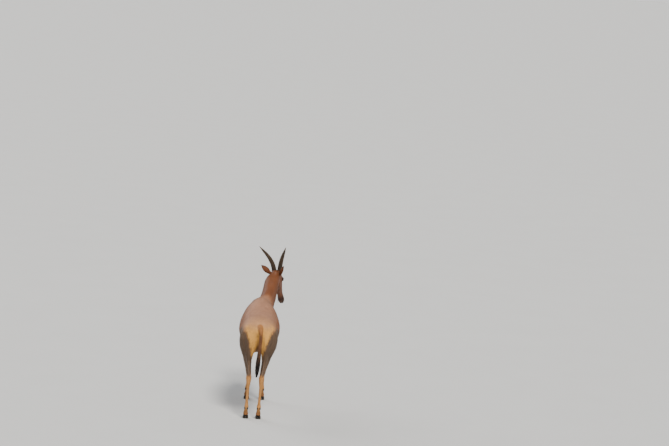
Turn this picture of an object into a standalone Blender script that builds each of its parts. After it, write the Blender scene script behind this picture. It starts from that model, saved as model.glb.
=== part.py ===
"""A life-size topi antelope, standing with its head turned to its right.

Run with: blender --background --python part.py

The animal faces -Y with its left side at +X. The body is lofted along its bones as
overlapping closed forms, merged into one hide, and parted into named pieces by thin cuts.
The horns, ears, eyes, hooves and tail are forms of their own that meet the hide.
"""
import math

import bmesh
import bpy
from mathutils import Matrix, Vector

# Driving sizes, in metres.
WITHERS = 1.200  # height of the shoulder hump
CROUP = 1.098  # height of the hips
CHEST = 0.652  # underside of the chest
ELBOW = 0.735
KNEE = 0.425
HOCK = 0.465
FETLOCK = 0.140
CORONET = 0.054  # where the hair ends and the hoof begins
FORE_Y = -0.385  # fore legs, along the body
HIND_Y = 0.475  # hind legs, along the body
FORE_X = 0.085  # each fore foot's distance from the middle line
HIND_X = 0.067  # each hind foot's
SWAY = 0.030  # how far the feet stand to the left of the body
FORE_SWAY = 0.6  # the fore feet's share of that
SWAY_FROM = 0.95  # height where a leg starts to lean
POLL = Vector((-0.152, -0.735, 1.428))  # top of the head
HEAD_YAW = math.radians(17)  # head turned to its right
HEAD_PITCH = math.radians(57)  # face below the horizontal
HEAD_TILT = math.radians(3)  # head leant to its left
HORN_LENGTH = 0.40
HORN_RADIUS = 0.0272
HORN_RINGS = 14
EAR_LENGTH = 0.150
EAR_AIM = {1: (0.68, 0.46, 0.62), -1: (0.48, 0.62, 0.64)}  # beside, behind and above, by side
EYE_RADIUS = 0.0195
LID = 0.0215  # radius of the lids, set in from the eye
LID_INSET = 0.0075
EYE_PLACE = (0.116, 0.0530, -0.030)  # down the face, out to the side, out of the forehead
HORN_BASE = (0.020, 0.033, 0.004)  # the same for the middle of a horn's root
EAR_ROOT = (0.022, 0.052, -0.049)
CENTRE = Vector((-0.0196, -0.1809, 0.0))  # the middle of the bounding box, moved to the origin
CORONET_SLOPE = 0.30  # how the coronet rises towards the toe

GAP = 0.0003  # left between pieces that meet
SIDES = 20  # round the body's sections
VOXEL = 0.008  # of the merged hide
EASING = 70  # passes of smoothing over the broad parts of the hide
HIDE_TRIANGLES = 2900
HORN_SIDES = 9
EAR_SIDES = 10
CLAW_SIDES = 10
SIDE_NAME = {1: "left", -1: "right"}
LEG_BLOCKS = {  # what a leg's own piece takes in: inner edge, (height, front, back) low and high, rise
    "fore": (0.046, (-0.02, -0.620, -0.300), (0.690, -0.620, -0.255), 0.95),
    "hind": (GAP / 2, (-0.02, 0.040, 0.700), (0.665, 0.190, 0.700), 1.20),
}
UP = Vector((0, 0, 1))
LEFT = Vector((1, 0, 0))

NECK_BASE = Vector((0.0, -0.440, 1.060))  # the cut between neck and trunk
NECK_BASE_FACING = Vector((-0.15, -0.80, 0.58)).normalized()

# Directions of the head: level ahead, up, down the face, to its left, and out of the forehead.
HEAD_AHEAD = Vector((-math.sin(HEAD_YAW), -math.cos(HEAD_YAW), 0))
LEVEL_LEFT = Vector((math.cos(HEAD_YAW), -math.sin(HEAD_YAW), 0))
HEAD_LEFT = LEVEL_LEFT * math.cos(HEAD_TILT) - UP * math.sin(HEAD_TILT)
HEAD_UP = UP * math.cos(HEAD_TILT) + LEVEL_LEFT * math.sin(HEAD_TILT)
HEAD_ALONG = HEAD_AHEAD * math.cos(HEAD_PITCH) - HEAD_UP * math.sin(HEAD_PITCH)
HEAD_OUT = HEAD_ALONG.cross(HEAD_LEFT)


def in_head(along, left, out):
    """A point given from the poll: down the face, to the left, and out of the forehead."""
    return POLL + HEAD_ALONG * along + HEAD_LEFT * left + HEAD_OUT * out


def on_side(place, side):
    """A place on the left of the head, or its mirror image on the right."""
    along, left, out = place
    return in_head(along, left * side, out)


# A form is a list of stations along a bone: (centre, half width, half depth to one side, half
# depth to the other, squareness). The first depth is to the side that "along, turned a quarter
# about the left-right axis" faces: a leg's front, the top of the neck, the front of the face,
# and the underside of the trunk.
def trunk():
    """Stations from the breast to the buttocks, given by their top and bottom."""
    shape = [  # y, top, bottom, half width, height of the widest place, squareness
        (-0.535, 0.968, 0.775, 0.060, 0.884, 2.0),
        (-0.500, 1.035, 0.712, 0.098, 0.890, 2.0),
        (-0.440, 1.106, CHEST + 0.014, 0.120, 0.903, 1.9),
        (-0.370, 1.160, CHEST + 0.004, 0.150, 0.921, 1.75),
        (-0.285, WITHERS, CHEST, 0.177, 0.936, 1.72),
        (-0.170, 1.197, CHEST + 0.004, 0.207, 0.934, 1.85),
        (-0.020, 1.147, CHEST + 0.018, 0.227, 0.911, 1.96),
        (0.120, 1.122, CHEST + 0.040, 0.225, 0.908, 2.0),
        (0.240, 1.110, CHEST + 0.074, 0.210, 0.918, 2.0),
        (0.340, CROUP, CHEST + 0.120, 0.195, 0.931, 2.0),
        (0.410, 1.082, 0.830, 0.163, 0.946, 2.0),
        (0.460, 1.051, 0.860, 0.122, 0.948, 2.0),
        (0.496, 1.016, 0.908, 0.066, 0.958, 2.0),
    ]
    stations = []
    for y, top, bottom, half_width, widest, squareness in shape:
        stations.append((Vector((0, y, widest)), half_width, widest - bottom, top - widest, squareness))
    return stations


def neck():
    """Stations from the shoulders up to the skull."""
    return [
        (Vector((-0.012, -0.330, 0.945)), 0.120, 0.250, 0.225, 1.9),
        (Vector((-0.032, -0.405, 1.015)), 0.108, 0.222, 0.214, 1.9),
        (Vector((-0.062, -0.480, 1.095)), 0.093, 0.186, 0.176, 1.9),
        (Vector((-0.083, -0.540, 1.170)), 0.087, 0.142, 0.132, 2.0),
        (Vector((-0.097, -0.590, 1.238)), 0.086, 0.110, 0.104, 2.0),
        (Vector((-0.110, -0.640, 1.303)), 0.084, 0.086, 0.086, 2.0),
        (in_head(0.036, 0.006, -0.066), 0.068, 0.047, 0.060, 2.0),
    ]


def groin():
    """What fills the hollow between the thighs."""
    return [
        (Vector((0, 0.230, 0.780)), 0.070, 0.050, 0.060, 2.0),
        (Vector((0.008, 0.310, 0.755)), 0.062, 0.050, 0.062, 2.0),
        (Vector((0.010, 0.380, 0.765)), 0.052, 0.050, 0.062, 2.0),
        (Vector((0.008, 0.430, 0.820)), 0.042, 0.060, 0.050, 2.0),
    ]


def breast():
    """The muscles over the breastbone, between the shoulders."""
    return [
        (Vector((0, -0.460, 1.000)), 0.070, 0.060, 0.090, 2.0),
        (Vector((0, -0.480, 0.920)), 0.082, 0.070, 0.085, 2.0),
        (Vector((0, -0.478, 0.850)), 0.080, 0.066, 0.080, 2.0),
        (Vector((0, -0.450, 0.775)), 0.072, 0.060, 0.070, 2.0),
        (Vector((0, -0.380, 0.725)), 0.062, 0.055, 0.060, 2.0),
    ]


def skull():
    """Stations down the face, hung from the straight line of forehead and nose."""
    shape = [  # distance from the poll, line's rise, depth above, depth below, half width
        (0.000, -0.014, 0.036, 0.050, 0.040),
        (0.024, 0.000, 0.048, 0.070, 0.056),
        (0.060, 0.006, 0.054, 0.082, 0.062),
        (0.110, 0.006, 0.054, 0.096, 0.064),
        (0.160, 0.001, 0.050, 0.090, 0.055),
        (0.220, -0.003, 0.044, 0.072, 0.044),
        (0.290, -0.005, 0.038, 0.055, 0.0355),
        (0.350, -0.004, 0.036, 0.049, 0.0360),
        (0.397, -0.005, 0.036, 0.047, 0.0400),
        (0.430, -0.011, 0.031, 0.041, 0.0385),
        (0.452, -0.022, 0.022, 0.030, 0.0310),
    ]
    stations = []
    for along, rise, above, below, half_width in shape:
        stations.append((in_head(along, 0, rise - above), half_width, above, below, 2.05))
    return stations


def face_forms(side):
    """Eyelids, brow, cheek, nostril and horn root on one side of the head."""
    along, left, out = EYE_PLACE
    lids = [
        (in_head(along - 0.006, (left - LID_INSET) * side, out), LID, LID, LID, 2.0),
        (in_head(along + 0.006, (left - LID_INSET) * side, out), LID, LID, LID, 2.0),
    ]
    brow = [
        (in_head(0.080, 0.038 * side, -0.016), 0.018, 0.016, 0.018, 2.0),
        (in_head(0.108, 0.048 * side, -0.014), 0.017, 0.016, 0.020, 2.0),
        (in_head(0.142, 0.043 * side, -0.024), 0.014, 0.014, 0.018, 2.0),
    ]
    cheek = [
        (in_head(0.085, 0.030 * side, -0.098), 0.028, 0.040, 0.040, 2.0),
        (in_head(0.125, 0.032 * side, -0.100), 0.028, 0.042, 0.044, 2.0),
        (in_head(0.175, 0.026 * side, -0.088), 0.022, 0.034, 0.034, 2.0),
    ]
    nostril = [
        (in_head(0.385, 0.018 * side, -0.022), 0.015, 0.014, 0.016, 2.0),
        (in_head(0.417, 0.024 * side, -0.025), 0.018, 0.016, 0.018, 2.0),
        (in_head(0.440, 0.020 * side, -0.032), 0.014, 0.012, 0.014, 2.0),
    ]
    horn_root = [
        (in_head(0.066, 0.027 * side, -0.036), 0.034, 0.034, 0.034, 2.0),
        (in_head(0.034, 0.032 * side, -0.010), 0.035, 0.035, 0.035, 2.0),
    ]
    return [lids, brow, cheek, nostril, horn_root]


def chin():
    """The lower jaw's tip."""
    return [
        (in_head(0.310, 0, -0.066), 0.018, 0.014, 0.012, 2.0),
        (in_head(0.370, 0, -0.079), 0.026, 0.018, 0.015, 2.0),
        (in_head(0.423, 0, -0.078), 0.025, 0.019, 0.015, 2.0),
    ]


def leaning(side, share=1.0):
    """A maker of points on one side, moved over as the leg leans down to its foot."""
    def at(x, y, z):
        lean = SWAY * share * max(0.0, 1.0 - z / SWAY_FROM)
        return Vector((x * side + lean, y, z))
    return at


def fore_leg(side):
    """Shoulder blade, upper arm, and the leg down to the hoof, on one side."""
    at = leaning(side, FORE_SWAY)
    blade = [
        (at(0.036, -0.300, 1.150), 0.026, 0.052, 0.070, 2.0),
        (at(0.078, -0.345, 1.055), 0.044, 0.066, 0.092, 2.0),
        (at(0.106, -0.400, 0.955), 0.052, 0.074, 0.092, 2.0),
        (at(0.116, -0.448, 0.880), 0.050, 0.066, 0.074, 2.0),
    ]
    triceps = [
        (at(0.112, -0.250, 0.985), 0.036, 0.090, 0.050, 2.0),
        (at(0.124, -0.285, 0.900), 0.046, 0.100, 0.062, 2.0),
        (at(0.120, -0.300, 0.815), 0.048, 0.090, 0.058, 2.0),
        (at(0.110, -0.312, ELBOW), 0.038, 0.065, 0.042, 2.0),
    ]
    upper_arm = [
        (at(0.116, -0.470, 0.868), 0.046, 0.050, 0.056, 2.0),
        (at(0.120, -0.430, 0.800), 0.052, 0.062, 0.064, 2.0),
        (at(0.112, -0.385, ELBOW), 0.048, 0.058, 0.066, 2.0),
    ]
    leg = [
        (at(0.110, FORE_Y + 0.016, 0.770), 0.052, 0.062, 0.072, 2.0),
        (at(0.104, FORE_Y + 0.010, 0.690), 0.044, 0.054, 0.063, 2.0),
        (at(0.097, FORE_Y, 0.610), 0.0355, 0.042, 0.049, 2.0),
        (at(0.090, FORE_Y - 0.006, 0.520), 0.0275, 0.031, 0.035, 2.0),
        (at(FORE_X, FORE_Y - 0.010, KNEE + 0.035), 0.0270, 0.027, 0.028, 2.2),
        (at(FORE_X, FORE_Y - 0.012, KNEE), 0.0300, 0.031, 0.029, 2.4),
        (at(FORE_X, FORE_Y - 0.008, KNEE - 0.042), 0.0235, 0.024, 0.027, 2.2),
        (at(FORE_X, FORE_Y - 0.004, 0.330), 0.0185, 0.0200, 0.0250, 2.1),
        (at(FORE_X, FORE_Y, 0.220), 0.0180, 0.0195, 0.0250, 2.1),
        (at(FORE_X, FORE_Y, FETLOCK + 0.030), 0.0205, 0.0215, 0.027, 2.1),
        (at(FORE_X, FORE_Y, FETLOCK), 0.0260, 0.0265, 0.031, 2.2),
        (at(FORE_X, FORE_Y - 0.015, FETLOCK - 0.032), 0.0225, 0.0225, 0.026, 2.1),
        (at(FORE_X, FORE_Y - 0.030, CORONET + 0.008), 0.0290, 0.031, 0.033, 2.2),
        (at(FORE_X, FORE_Y - 0.034, CORONET - 0.006), 0.0300, 0.033, 0.035, 2.2),
    ]
    return [blade, triceps, upper_arm, leg]


def hind_leg(side):
    """Thigh, buttock, heel tendon, and the leg down to the hoof, on one side."""
    at = leaning(side)
    flank = [
        (at(0.124, 0.270, 1.015), 0.036, 0.050, 0.060, 2.0),
        (at(0.146, 0.240, 0.920), 0.052, 0.085, 0.090, 2.0),
        (at(0.144, 0.222, 0.820), 0.054, 0.078, 0.090, 2.0),
        (at(0.124, 0.210, 0.740), 0.048, 0.056, 0.070, 2.0),
    ]
    thigh = [
        (at(0.092, 0.355, 0.975), 0.086, 0.120, 0.110, 2.0),
        (at(0.116, 0.365, 0.890), 0.096, 0.150, 0.130, 2.0),
        (at(0.114, 0.358, 0.790), 0.089, 0.150, 0.118, 2.0),
        (at(0.103, 0.345, 0.700), 0.069, 0.120, 0.096, 2.0),
        (at(0.094, 0.355, 0.630), 0.046, 0.085, 0.068, 2.0),
    ]
    buttock = [
        (at(0.066, 0.458, 0.955), 0.054, 0.060, 0.052, 2.0),
        (at(0.075, 0.474, 0.890), 0.062, 0.080, 0.064, 2.0),
        (at(0.077, 0.466, 0.800), 0.058, 0.080, 0.064, 2.0),
        (at(0.082, 0.440, 0.705), 0.044, 0.070, 0.054, 2.0),
        (at(0.084, 0.425, 0.625), 0.031, 0.050, 0.040, 2.0),
    ]
    gaskin = [
        (at(0.121, 0.228, 0.740), 0.050, 0.056, 0.070, 2.0),
        (at(0.112, 0.268, 0.680), 0.054, 0.060, 0.088, 2.0),
        (at(0.098, 0.335, 0.610), 0.047, 0.050, 0.080, 2.0),
        (at(0.083, 0.408, 0.545), 0.036, 0.038, 0.058, 2.0),
        (at(0.072, 0.462, 0.492), 0.030, 0.032, 0.038, 2.0),
        (at(0.069, 0.484, HOCK), 0.029, 0.032, 0.034, 2.0),
    ]
    tendon = [
        (at(0.084, 0.432, 0.640), 0.024, 0.034, 0.030, 2.0),
        (at(0.077, 0.476, 0.565), 0.0165, 0.026, 0.018, 2.0),
        (at(0.069, 0.517, HOCK + 0.022), 0.0190, 0.024, 0.016, 2.0),
        (at(0.069, 0.517, HOCK - 0.010), 0.0185, 0.028, 0.016, 2.0),
    ]
    leg = [
        (at(0.069, 0.478, HOCK + 0.018), 0.0275, 0.030, 0.036, 2.1),
        (at(0.068, 0.490, HOCK - 0.028), 0.0300, 0.034, 0.040, 2.3),
        (at(HIND_X, 0.494, HOCK - 0.075), 0.0240, 0.027, 0.031, 2.2),
        (at(HIND_X, 0.490, 0.330), 0.0188, 0.0220, 0.0260, 2.1),
        (at(HIND_X, 0.482, 0.230), 0.0180, 0.0210, 0.0255, 2.1),
        (at(HIND_X, HIND_Y, FETLOCK + 0.030), 0.0205, 0.0225, 0.028, 2.1),
        (at(HIND_X, HIND_Y, FETLOCK), 0.0260, 0.0265, 0.032, 2.2),
        (at(HIND_X, HIND_Y - 0.015, FETLOCK - 0.032), 0.0220, 0.0225, 0.026, 2.1),
        (at(HIND_X, HIND_Y - 0.030, CORONET + 0.008), 0.0280, 0.030, 0.032, 2.2),
        (at(HIND_X, HIND_Y - 0.034, CORONET - 0.006), 0.0285, 0.032, 0.034, 2.2),
    ]
    return [flank, thigh, buttock, gaskin, tendon, leg]


def tail():
    """The dock, and the flat tassel of long hair that hangs to the hocks."""
    return [
        (Vector((-0.006, 0.468, 1.018)), 0.028, 0.018, 0.026, 2.0),
        (Vector((-0.014, 0.515, 0.998)), 0.027, 0.017, 0.024, 2.0),
        (Vector((-0.020, 0.546, 0.955)), 0.024, 0.014, 0.019, 2.0),
        (Vector((-0.021, 0.560, 0.885)), 0.020, 0.013, 0.016, 2.0),
        (Vector((-0.017, 0.564, 0.800)), 0.018, 0.013, 0.016, 2.0),
        (Vector((-0.011, 0.561, 0.710)), 0.021, 0.016, 0.021, 2.0),
        (Vector((-0.005, 0.557, 0.620)), 0.025, 0.019, 0.023, 2.0),
        (Vector((0.000, 0.554, 0.540)), 0.019, 0.015, 0.018, 2.0),
        (Vector((0.003, 0.552, 0.480)), 0.007, 0.006, 0.006, 2.0),
    ]


def spline(values, at):
    """Catmull-Rom through equally spaced values, which are numbers or vectors."""
    last = len(values) - 1
    i = min(int(at), last - 1)
    t = at - i
    a, b, c, d = (values[min(max(k, 0), last)] for k in (i - 1, i, i + 1, i + 2))
    return 0.5 * (2 * b + (c - a) * t + (2 * a - 5 * b + 4 * c - d) * t**2 + (3 * b - a - 3 * c + d) * t**3)


def resampled(stations, spacing):
    """The same form with a station about every spacing along it."""
    columns = list(zip(*stations))
    places = []
    for i in range(len(stations) - 1):
        steps = max(1, round((stations[i + 1][0] - stations[i][0]).length / spacing))
        places += [i + k / steps for k in range(steps)]
    places.append(len(stations) - 1.0)
    return [tuple(spline(column, at) for column in columns) for at in places]


def with_round_ends(stations, rings):
    """Adds shrinking stations past both ends, so that the form ends as a dome."""
    def dome(end, outward):
        centre, width, front, back, squareness = end
        reach = min(width, front, back)
        made = []
        for k in range(1, rings + 1):
            turn = math.radians(84 if rings > 1 else 60) * k / rings
            shrink = math.cos(turn)
            place = centre + outward * reach * math.sin(turn)
            made.append((place, width * shrink, front * shrink, back * shrink, squareness))
        return made

    first = (stations[0][0] - stations[1][0]).normalized()
    last = (stations[-1][0] - stations[-2][0]).normalized()
    return dome(stations[0], first)[::-1] + stations + dome(stations[-1], last)


def section(centre, along, left, half_width, front, back, squareness, sides):
    """One closed ring of points round a bone, a superellipse with unlike halves."""
    across = (left - along * left.dot(along)).normalized()
    outward = along.cross(across)
    ring = []
    for k in range(sides):
        turn = 2 * math.pi * (k + 0.5) / sides
        c, s = math.cos(turn), math.sin(turn)
        x = math.copysign(abs(c) ** (2 / squareness), c) * half_width
        y = math.copysign(abs(s) ** (2 / squareness), s) * (front if s > 0 else back)
        ring.append(centre + across * x + outward * y)
    return ring


def add_loft(bm, rings):
    """Skins a row of rings into a closed body in bm."""
    rows = [[bm.verts.new(point) for point in ring] for ring in rings]
    count = len(rows[0])
    faces = [bm.faces.new(rows[0]), bm.faces.new(rows[-1][::-1])]
    for lower, upper in zip(rows, rows[1:]):
        for k in range(count):
            n = (k + 1) % count
            faces.append(bm.faces.new((lower[k], upper[k], upper[n], lower[n])))
    bmesh.ops.recalc_face_normals(bm, faces=faces)
    return faces


def add_form(bm, stations, left, sides=SIDES, spacing=0.02, end_rings=3):
    """Lofts one form into bm."""
    rows = with_round_ends(resampled(stations, spacing), end_rings)
    rings = []
    for i, (centre, width, front, back, squareness) in enumerate(rows):
        before = rows[max(i - 1, 0)][0]
        after = rows[min(i + 1, len(rows) - 1)][0]
        along = (after - before).normalized()
        rings.append(section(centre, along, left, width, front, back, squareness, sides))
    add_loft(bm, rings)


def material(name, colour, roughness):
    """A plain Principled finish."""
    made = bpy.data.materials.new(name)
    made.use_nodes = True
    shader = made.node_tree.nodes["Principled BSDF"]
    shader.inputs["Base Color"].default_value = (*colour, 1)
    shader.inputs["Roughness"].default_value = roughness
    made.diffuse_color = (*colour, 1)
    return made


def new_object(name, bm, collection, finish=None):
    """An object in collection from bm, which is freed. Triangles keep its gaps even."""
    bmesh.ops.triangulate(bm, faces=bm.faces)
    mesh = bpy.data.meshes.new(name)
    bm.to_mesh(mesh)
    bm.free()
    made = bpy.data.objects.new(name, mesh)
    collection.objects.link(made)
    if finish:
        mesh.materials.append(finish)
    return made


def modified(obj, name, **settings):
    """Adds a modifier to obj."""
    modifier = obj.modifiers.new(name.title(), name)
    for key, value in settings.items():
        setattr(modifier, key, value)
    return modifier


def apply_modifiers(obj):
    """Bakes obj's modifiers into its mesh."""
    bpy.context.view_layer.update()
    graph = bpy.context.evaluated_depsgraph_get()
    finished = bpy.data.meshes.new_from_object(obj.evaluated_get(graph))
    obj.modifiers.clear()
    obj.data = finished


def as_cutter(obj):
    """Marks a helper that isn't part of the animal."""
    obj.hide_render = True
    obj.display_type = "WIRE"
    return obj


def cut(obj, cutter, operation="DIFFERENCE"):
    """Adds an exact Boolean and bakes it, so that the next cut works on clean faces."""
    modified(obj, "BOOLEAN", object=cutter, operation=operation, solver="EXACT")
    apply_modifiers(obj)


def build_hide(helpers):
    """All the flesh as one closed body: lofts merged by voxels, eased and simplified."""
    bm = bmesh.new()
    for form in [trunk(), neck(), breast(), groin()]:
        add_form(bm, form, LEFT)
    for form in [skull(), chin()]:
        add_form(bm, form, HEAD_LEFT)
    for side in (1, -1):
        for form in fore_leg(side) + hind_leg(side):
            add_form(bm, form, LEFT)
        for form in face_forms(side):
            add_form(bm, form, HEAD_LEFT)
    hide = new_object("hide", bm, helpers)
    modified(hide, "REMESH", mode="VOXEL", voxel_size=VOXEL, adaptivity=0.0)
    apply_modifiers(hide)
    broad = hide.vertex_groups.new(name="broad")
    for vertex in hide.data.vertices:
        broad.add([vertex.index], breadth(vertex.co), "REPLACE")
    modified(hide, "SMOOTH", factor=0.5, iterations=EASING, vertex_group="broad")
    ratio = HIDE_TRIANGLES / (2 * len(hide.data.polygons))
    modified(hide, "DECIMATE", ratio=ratio)
    apply_modifiers(hide)
    return hide


def breadth(point):
    """How freely the hide may be eased here, from 0.06 on the legs and face to 1 on the body."""
    above_legs = (point.z - 0.66) / 0.16
    from_head = ((point - in_head(0.1, 0, -0.04)).length - 0.17) / 0.30
    return min(max(min(above_legs, from_head), 0.06), 1.0)


def half_space(name, helpers, face, outward, reach=0.5):
    """A big box whose near face is centred on face and square to outward, on that side of it."""
    across = outward.orthogonal().normalized()
    frame = Matrix((across, outward.cross(across), outward)).transposed().to_4x4()
    bm = bmesh.new()
    bmesh.ops.create_cube(bm, size=reach)
    bm.transform(Matrix.Translation(face + outward * reach / 2) @ frame)
    return as_cutter(new_object(name, bm, helpers))


def leg_block(name, helpers, end, side):
    """A block round one leg: its inner face leans as the leg does, and its top rises outwards."""
    inset, low, high, rise = LEG_BLOCKS[end]
    lean = leaning(side, FORE_SWAY if end == "fore" else 1.0)
    bm = bmesh.new()
    corners = []
    for (z, front, back), lift in ((low, 0.0), (high, rise)):
        inner = lean(inset, 0, z)
        for y in (front, back):
            corners.append(bm.verts.new((inner.x, y, z)))
            corners.append(bm.verts.new((0.40 * side, y, z + lift * (0.40 - inset))))
    bmesh.ops.convex_hull(bm, input=corners)
    return as_cutter(new_object(name, bm, helpers))


def head_block(name, helpers):
    """A prism round the head: one face from the nape to the throat, and one under the jaw."""
    nape, throat, under_chin = (-0.035, -0.030), (0.112, -0.172), (0.55, -0.115)
    above = (nape[0] - 0.30, nape[1] + 0.30)
    bm = bmesh.new()
    corners = []
    for along, out in (above, nape, throat, under_chin, (0.55, 0.35)):
        for left in (-0.30, 0.30):
            corners.append(bm.verts.new(in_head(along, left, out)))
    bmesh.ops.convex_hull(bm, input=corners)
    return as_cutter(new_object(name, bm, helpers))


def copy_of(obj, name, collection):
    """A copy of obj with a mesh of its own."""
    made = bpy.data.objects.new(name, obj.data.copy())
    collection.objects.link(made)
    return made


def split(obj, name, collection, helpers, block, finish):
    """Takes what lies in block out of obj as a new object, and leaves a gap round it."""
    piece = copy_of(obj, name, collection)
    cut(piece, block, "INTERSECT")
    piece.data.materials.clear()
    piece.data.materials.append(finish)
    cut(obj, grown(block, block.name + "_room", helpers, GAP * math.sqrt(3)))
    return piece


def grown(obj, name, helpers, by):
    """A copy of obj with its surface moved outwards."""
    made = copy_of(obj, name, helpers)
    modified(made, "DISPLACE", strength=by, mid_level=0.0)
    apply_modifiers(made)
    return as_cutter(made)


def horn_path(side, t):
    """A point of the horn's curve at t from 0 to 1: up, then out and back, then up again."""
    out = 0.012 * t + 0.110 * t**1.6
    back = 0.020 * t + 0.160 * t**2.0 - 0.012 * t**6
    up = 0.340 * t - 0.075 * t**2 + 0.030 * t**5
    size = HORN_LENGTH / 0.40
    return on_side(HORN_BASE, side) + (HEAD_LEFT * side * out - HEAD_AHEAD * back + HEAD_UP * up) * size


def horn_radius(t):
    """A stout ringed stem, and from three quarters up a smooth tapering tip."""
    taper = HORN_RADIUS * (1 - 0.38 * t - 0.54 * t**4)
    ringed = min(max((0.78 - t) / 0.12, 0), 1) * min(max((t - 0.05) / 0.04, 0), 1)
    wave = (t / 0.78 * HORN_RINGS) % 1.0
    ridge = min(wave / 0.55, (1 - wave) / 0.45)
    return taper * (1 + 0.11 * ringed * (ridge - 0.4))


def horn(side, collection, finish):
    """One horn, rooted inside the skull."""
    ringed = [0.78 * k / (2 * HORN_RINGS) for k in range(2 * HORN_RINGS)]
    smooth = [0.78 + 0.22 * k / 7 for k in range(7)] + [0.995]
    rings = []
    for t in [-0.07] + ringed + smooth:
        centre = horn_path(side, max(t, 0))
        along = (horn_path(side, max(t, 0) + 0.01) - centre).normalized()
        if t < 0:
            centre = centre + along * t * HORN_LENGTH
        radius = horn_radius(max(t, 0))
        rings.append(section(centre, along, HEAD_LEFT, radius, radius * 1.06, radius, 2.0, HORN_SIDES))
    bm = bmesh.new()
    add_loft(bm, rings)
    return new_object(f"horn_{SIDE_NAME[side]}", bm, collection, finish)


def ear(side, collection, finish):
    """A leaf-shaped ear, rolled at its root and cupped forwards and outwards."""
    shape = [  # share of the length, half width, half thickness, depth of the cup, lift
        (-0.10, 0.0130, 0.0120, 0.000, 0.000),
        (0.00, 0.0155, 0.0125, 0.000, 0.000),
        (0.12, 0.0190, 0.0095, 0.006, 0.000),
        (0.28, 0.0262, 0.0050, 0.013, 0.002),
        (0.46, 0.0318, 0.0034, 0.016, 0.004),
        (0.64, 0.0300, 0.0029, 0.013, 0.006),
        (0.80, 0.0222, 0.0026, 0.009, 0.009),
        (0.92, 0.0120, 0.0024, 0.004, 0.012),
        (1.00, 0.0030, 0.0018, 0.000, 0.015),
    ]
    beside, behind, above = EAR_AIM[side]
    along = (HEAD_LEFT * side * beside - HEAD_AHEAD * behind + HEAD_UP * above).normalized()
    facing = HEAD_AHEAD * 0.62 + HEAD_LEFT * side * 0.72 - HEAD_UP * 0.05
    facing = (facing - along * facing.dot(along)).normalized()
    across = along.cross(facing)
    root = on_side(EAR_ROOT, side)
    rings = []
    for share, width, thick, cup, lift in shape:
        centre = root + along * EAR_LENGTH * share + UP * lift
        ring = []
        for k in range(EAR_SIDES):
            turn = 2 * math.pi * (k + 0.5) / EAR_SIDES
            x, y = math.cos(turn), math.sin(turn)
            ring.append(centre + across * width * x + facing * (thick * y - cup * (1 - x * x)))
        rings.append(ring)
    bm = bmesh.new()
    add_loft(bm, rings)
    return new_object(f"ear_{SIDE_NAME[side]}", bm, collection, finish)


def eye(side, collection, finish):
    """The eyeball."""
    bm = bmesh.new()
    bmesh.ops.create_uvsphere(bm, u_segments=12, v_segments=8, radius=EYE_RADIUS)
    bm.transform(Matrix.Translation(on_side(EYE_PLACE, side)))
    return new_object(f"eye_{SIDE_NAME[side]}", bm, collection, finish)


def coronet_centre(end, side):
    """The middle of a foot's coronet."""
    if end == "fore":
        return leaning(side, FORE_SWAY)(FORE_X, FORE_Y - 0.036, CORONET)
    return leaning(side)(HIND_X, HIND_Y - 0.036, CORONET)


def claw_outline(centre, side, half_width, front, back):
    """A pointed oval, flatter on the side of the cleft."""
    points = []
    for k in range(CLAW_SIDES):
        turn = 2 * math.pi * k / CLAW_SIDES
        ahead, beside = math.cos(turn), math.sin(turn)
        width = half_width * (1 - 0.50 * max(ahead, 0) ** 1.6) * (1.0 if beside * side > 0 else 0.72)
        reach = front if ahead > 0 else back
        points.append(Vector((centre.x + width * beside, centre.y - reach * ahead, centre.z)))
    return points


def hoof(end, side, collection, finish):
    """Two claws side by side with a cleft in front, their flat soles on the floor."""
    coronet = coronet_centre(end, side)
    claws = []
    for place in (1, -1):
        rings = []
        for t in (0.0, 0.10, 0.45, 0.80, 1.0):
            beside = place * (0.0158 - 0.0053 * t)
            centre = Vector((coronet.x + beside, coronet.y - 0.018 * (1 - t), CORONET * t))
            bevel = 0.0012 if t == 0 else 0.0
            front, back = 0.052 - 0.020 * t - bevel, 0.032 - bevel
            ring = claw_outline(centre, place, 0.0170 + 0.0008 * t - bevel, front, back)
            for point in ring:
                point.z += t * CORONET_SLOPE * (coronet.y - point.y) - (GAP / 2 if t == 1 else 0)
            rings.append(ring)
        bm = bmesh.new()
        add_loft(bm, rings)
        claws.append(new_object(f"hoof_{end}_{SIDE_NAME[side]}", bm, collection, finish))
    cut(claws[0], claws[1], "UNION")
    bpy.data.objects.remove(claws[1])
    return claws[0]


def dewclaw(end, side, place, collection, finish):
    """A small blunt claw behind the fetlock."""
    fetlock = leaning(side, FORE_SWAY)(FORE_X, FORE_Y, FETLOCK)
    if end == "hind":
        fetlock = leaning(side)(HIND_X, HIND_Y, FETLOCK)
    stations = [
        (fetlock + Vector((0.012 * place, 0.018, -0.004)), 0.0095, 0.008, 0.008, 2.0),
        (fetlock + Vector((0.015 * place, 0.030, -0.014)), 0.0100, 0.009, 0.008, 2.0),
        (fetlock + Vector((0.016 * place, 0.037, -0.026)), 0.0075, 0.006, 0.006, 2.0),
    ]
    bm = bmesh.new()
    add_form(bm, stations, LEFT, sides=6, spacing=0.02, end_rings=1)
    where = "outer" if place == side else "inner"
    return new_object(f"dewclaw_{end}_{SIDE_NAME[side]}_{where}", bm, collection, finish)


def build_tail(collection, finish):
    """The tail with its tassel, as one solid."""
    bm = bmesh.new()
    add_form(bm, tail(), LEFT, sides=10, spacing=0.05, end_rings=2)
    return new_object("tail", bm, collection, finish)


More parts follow.
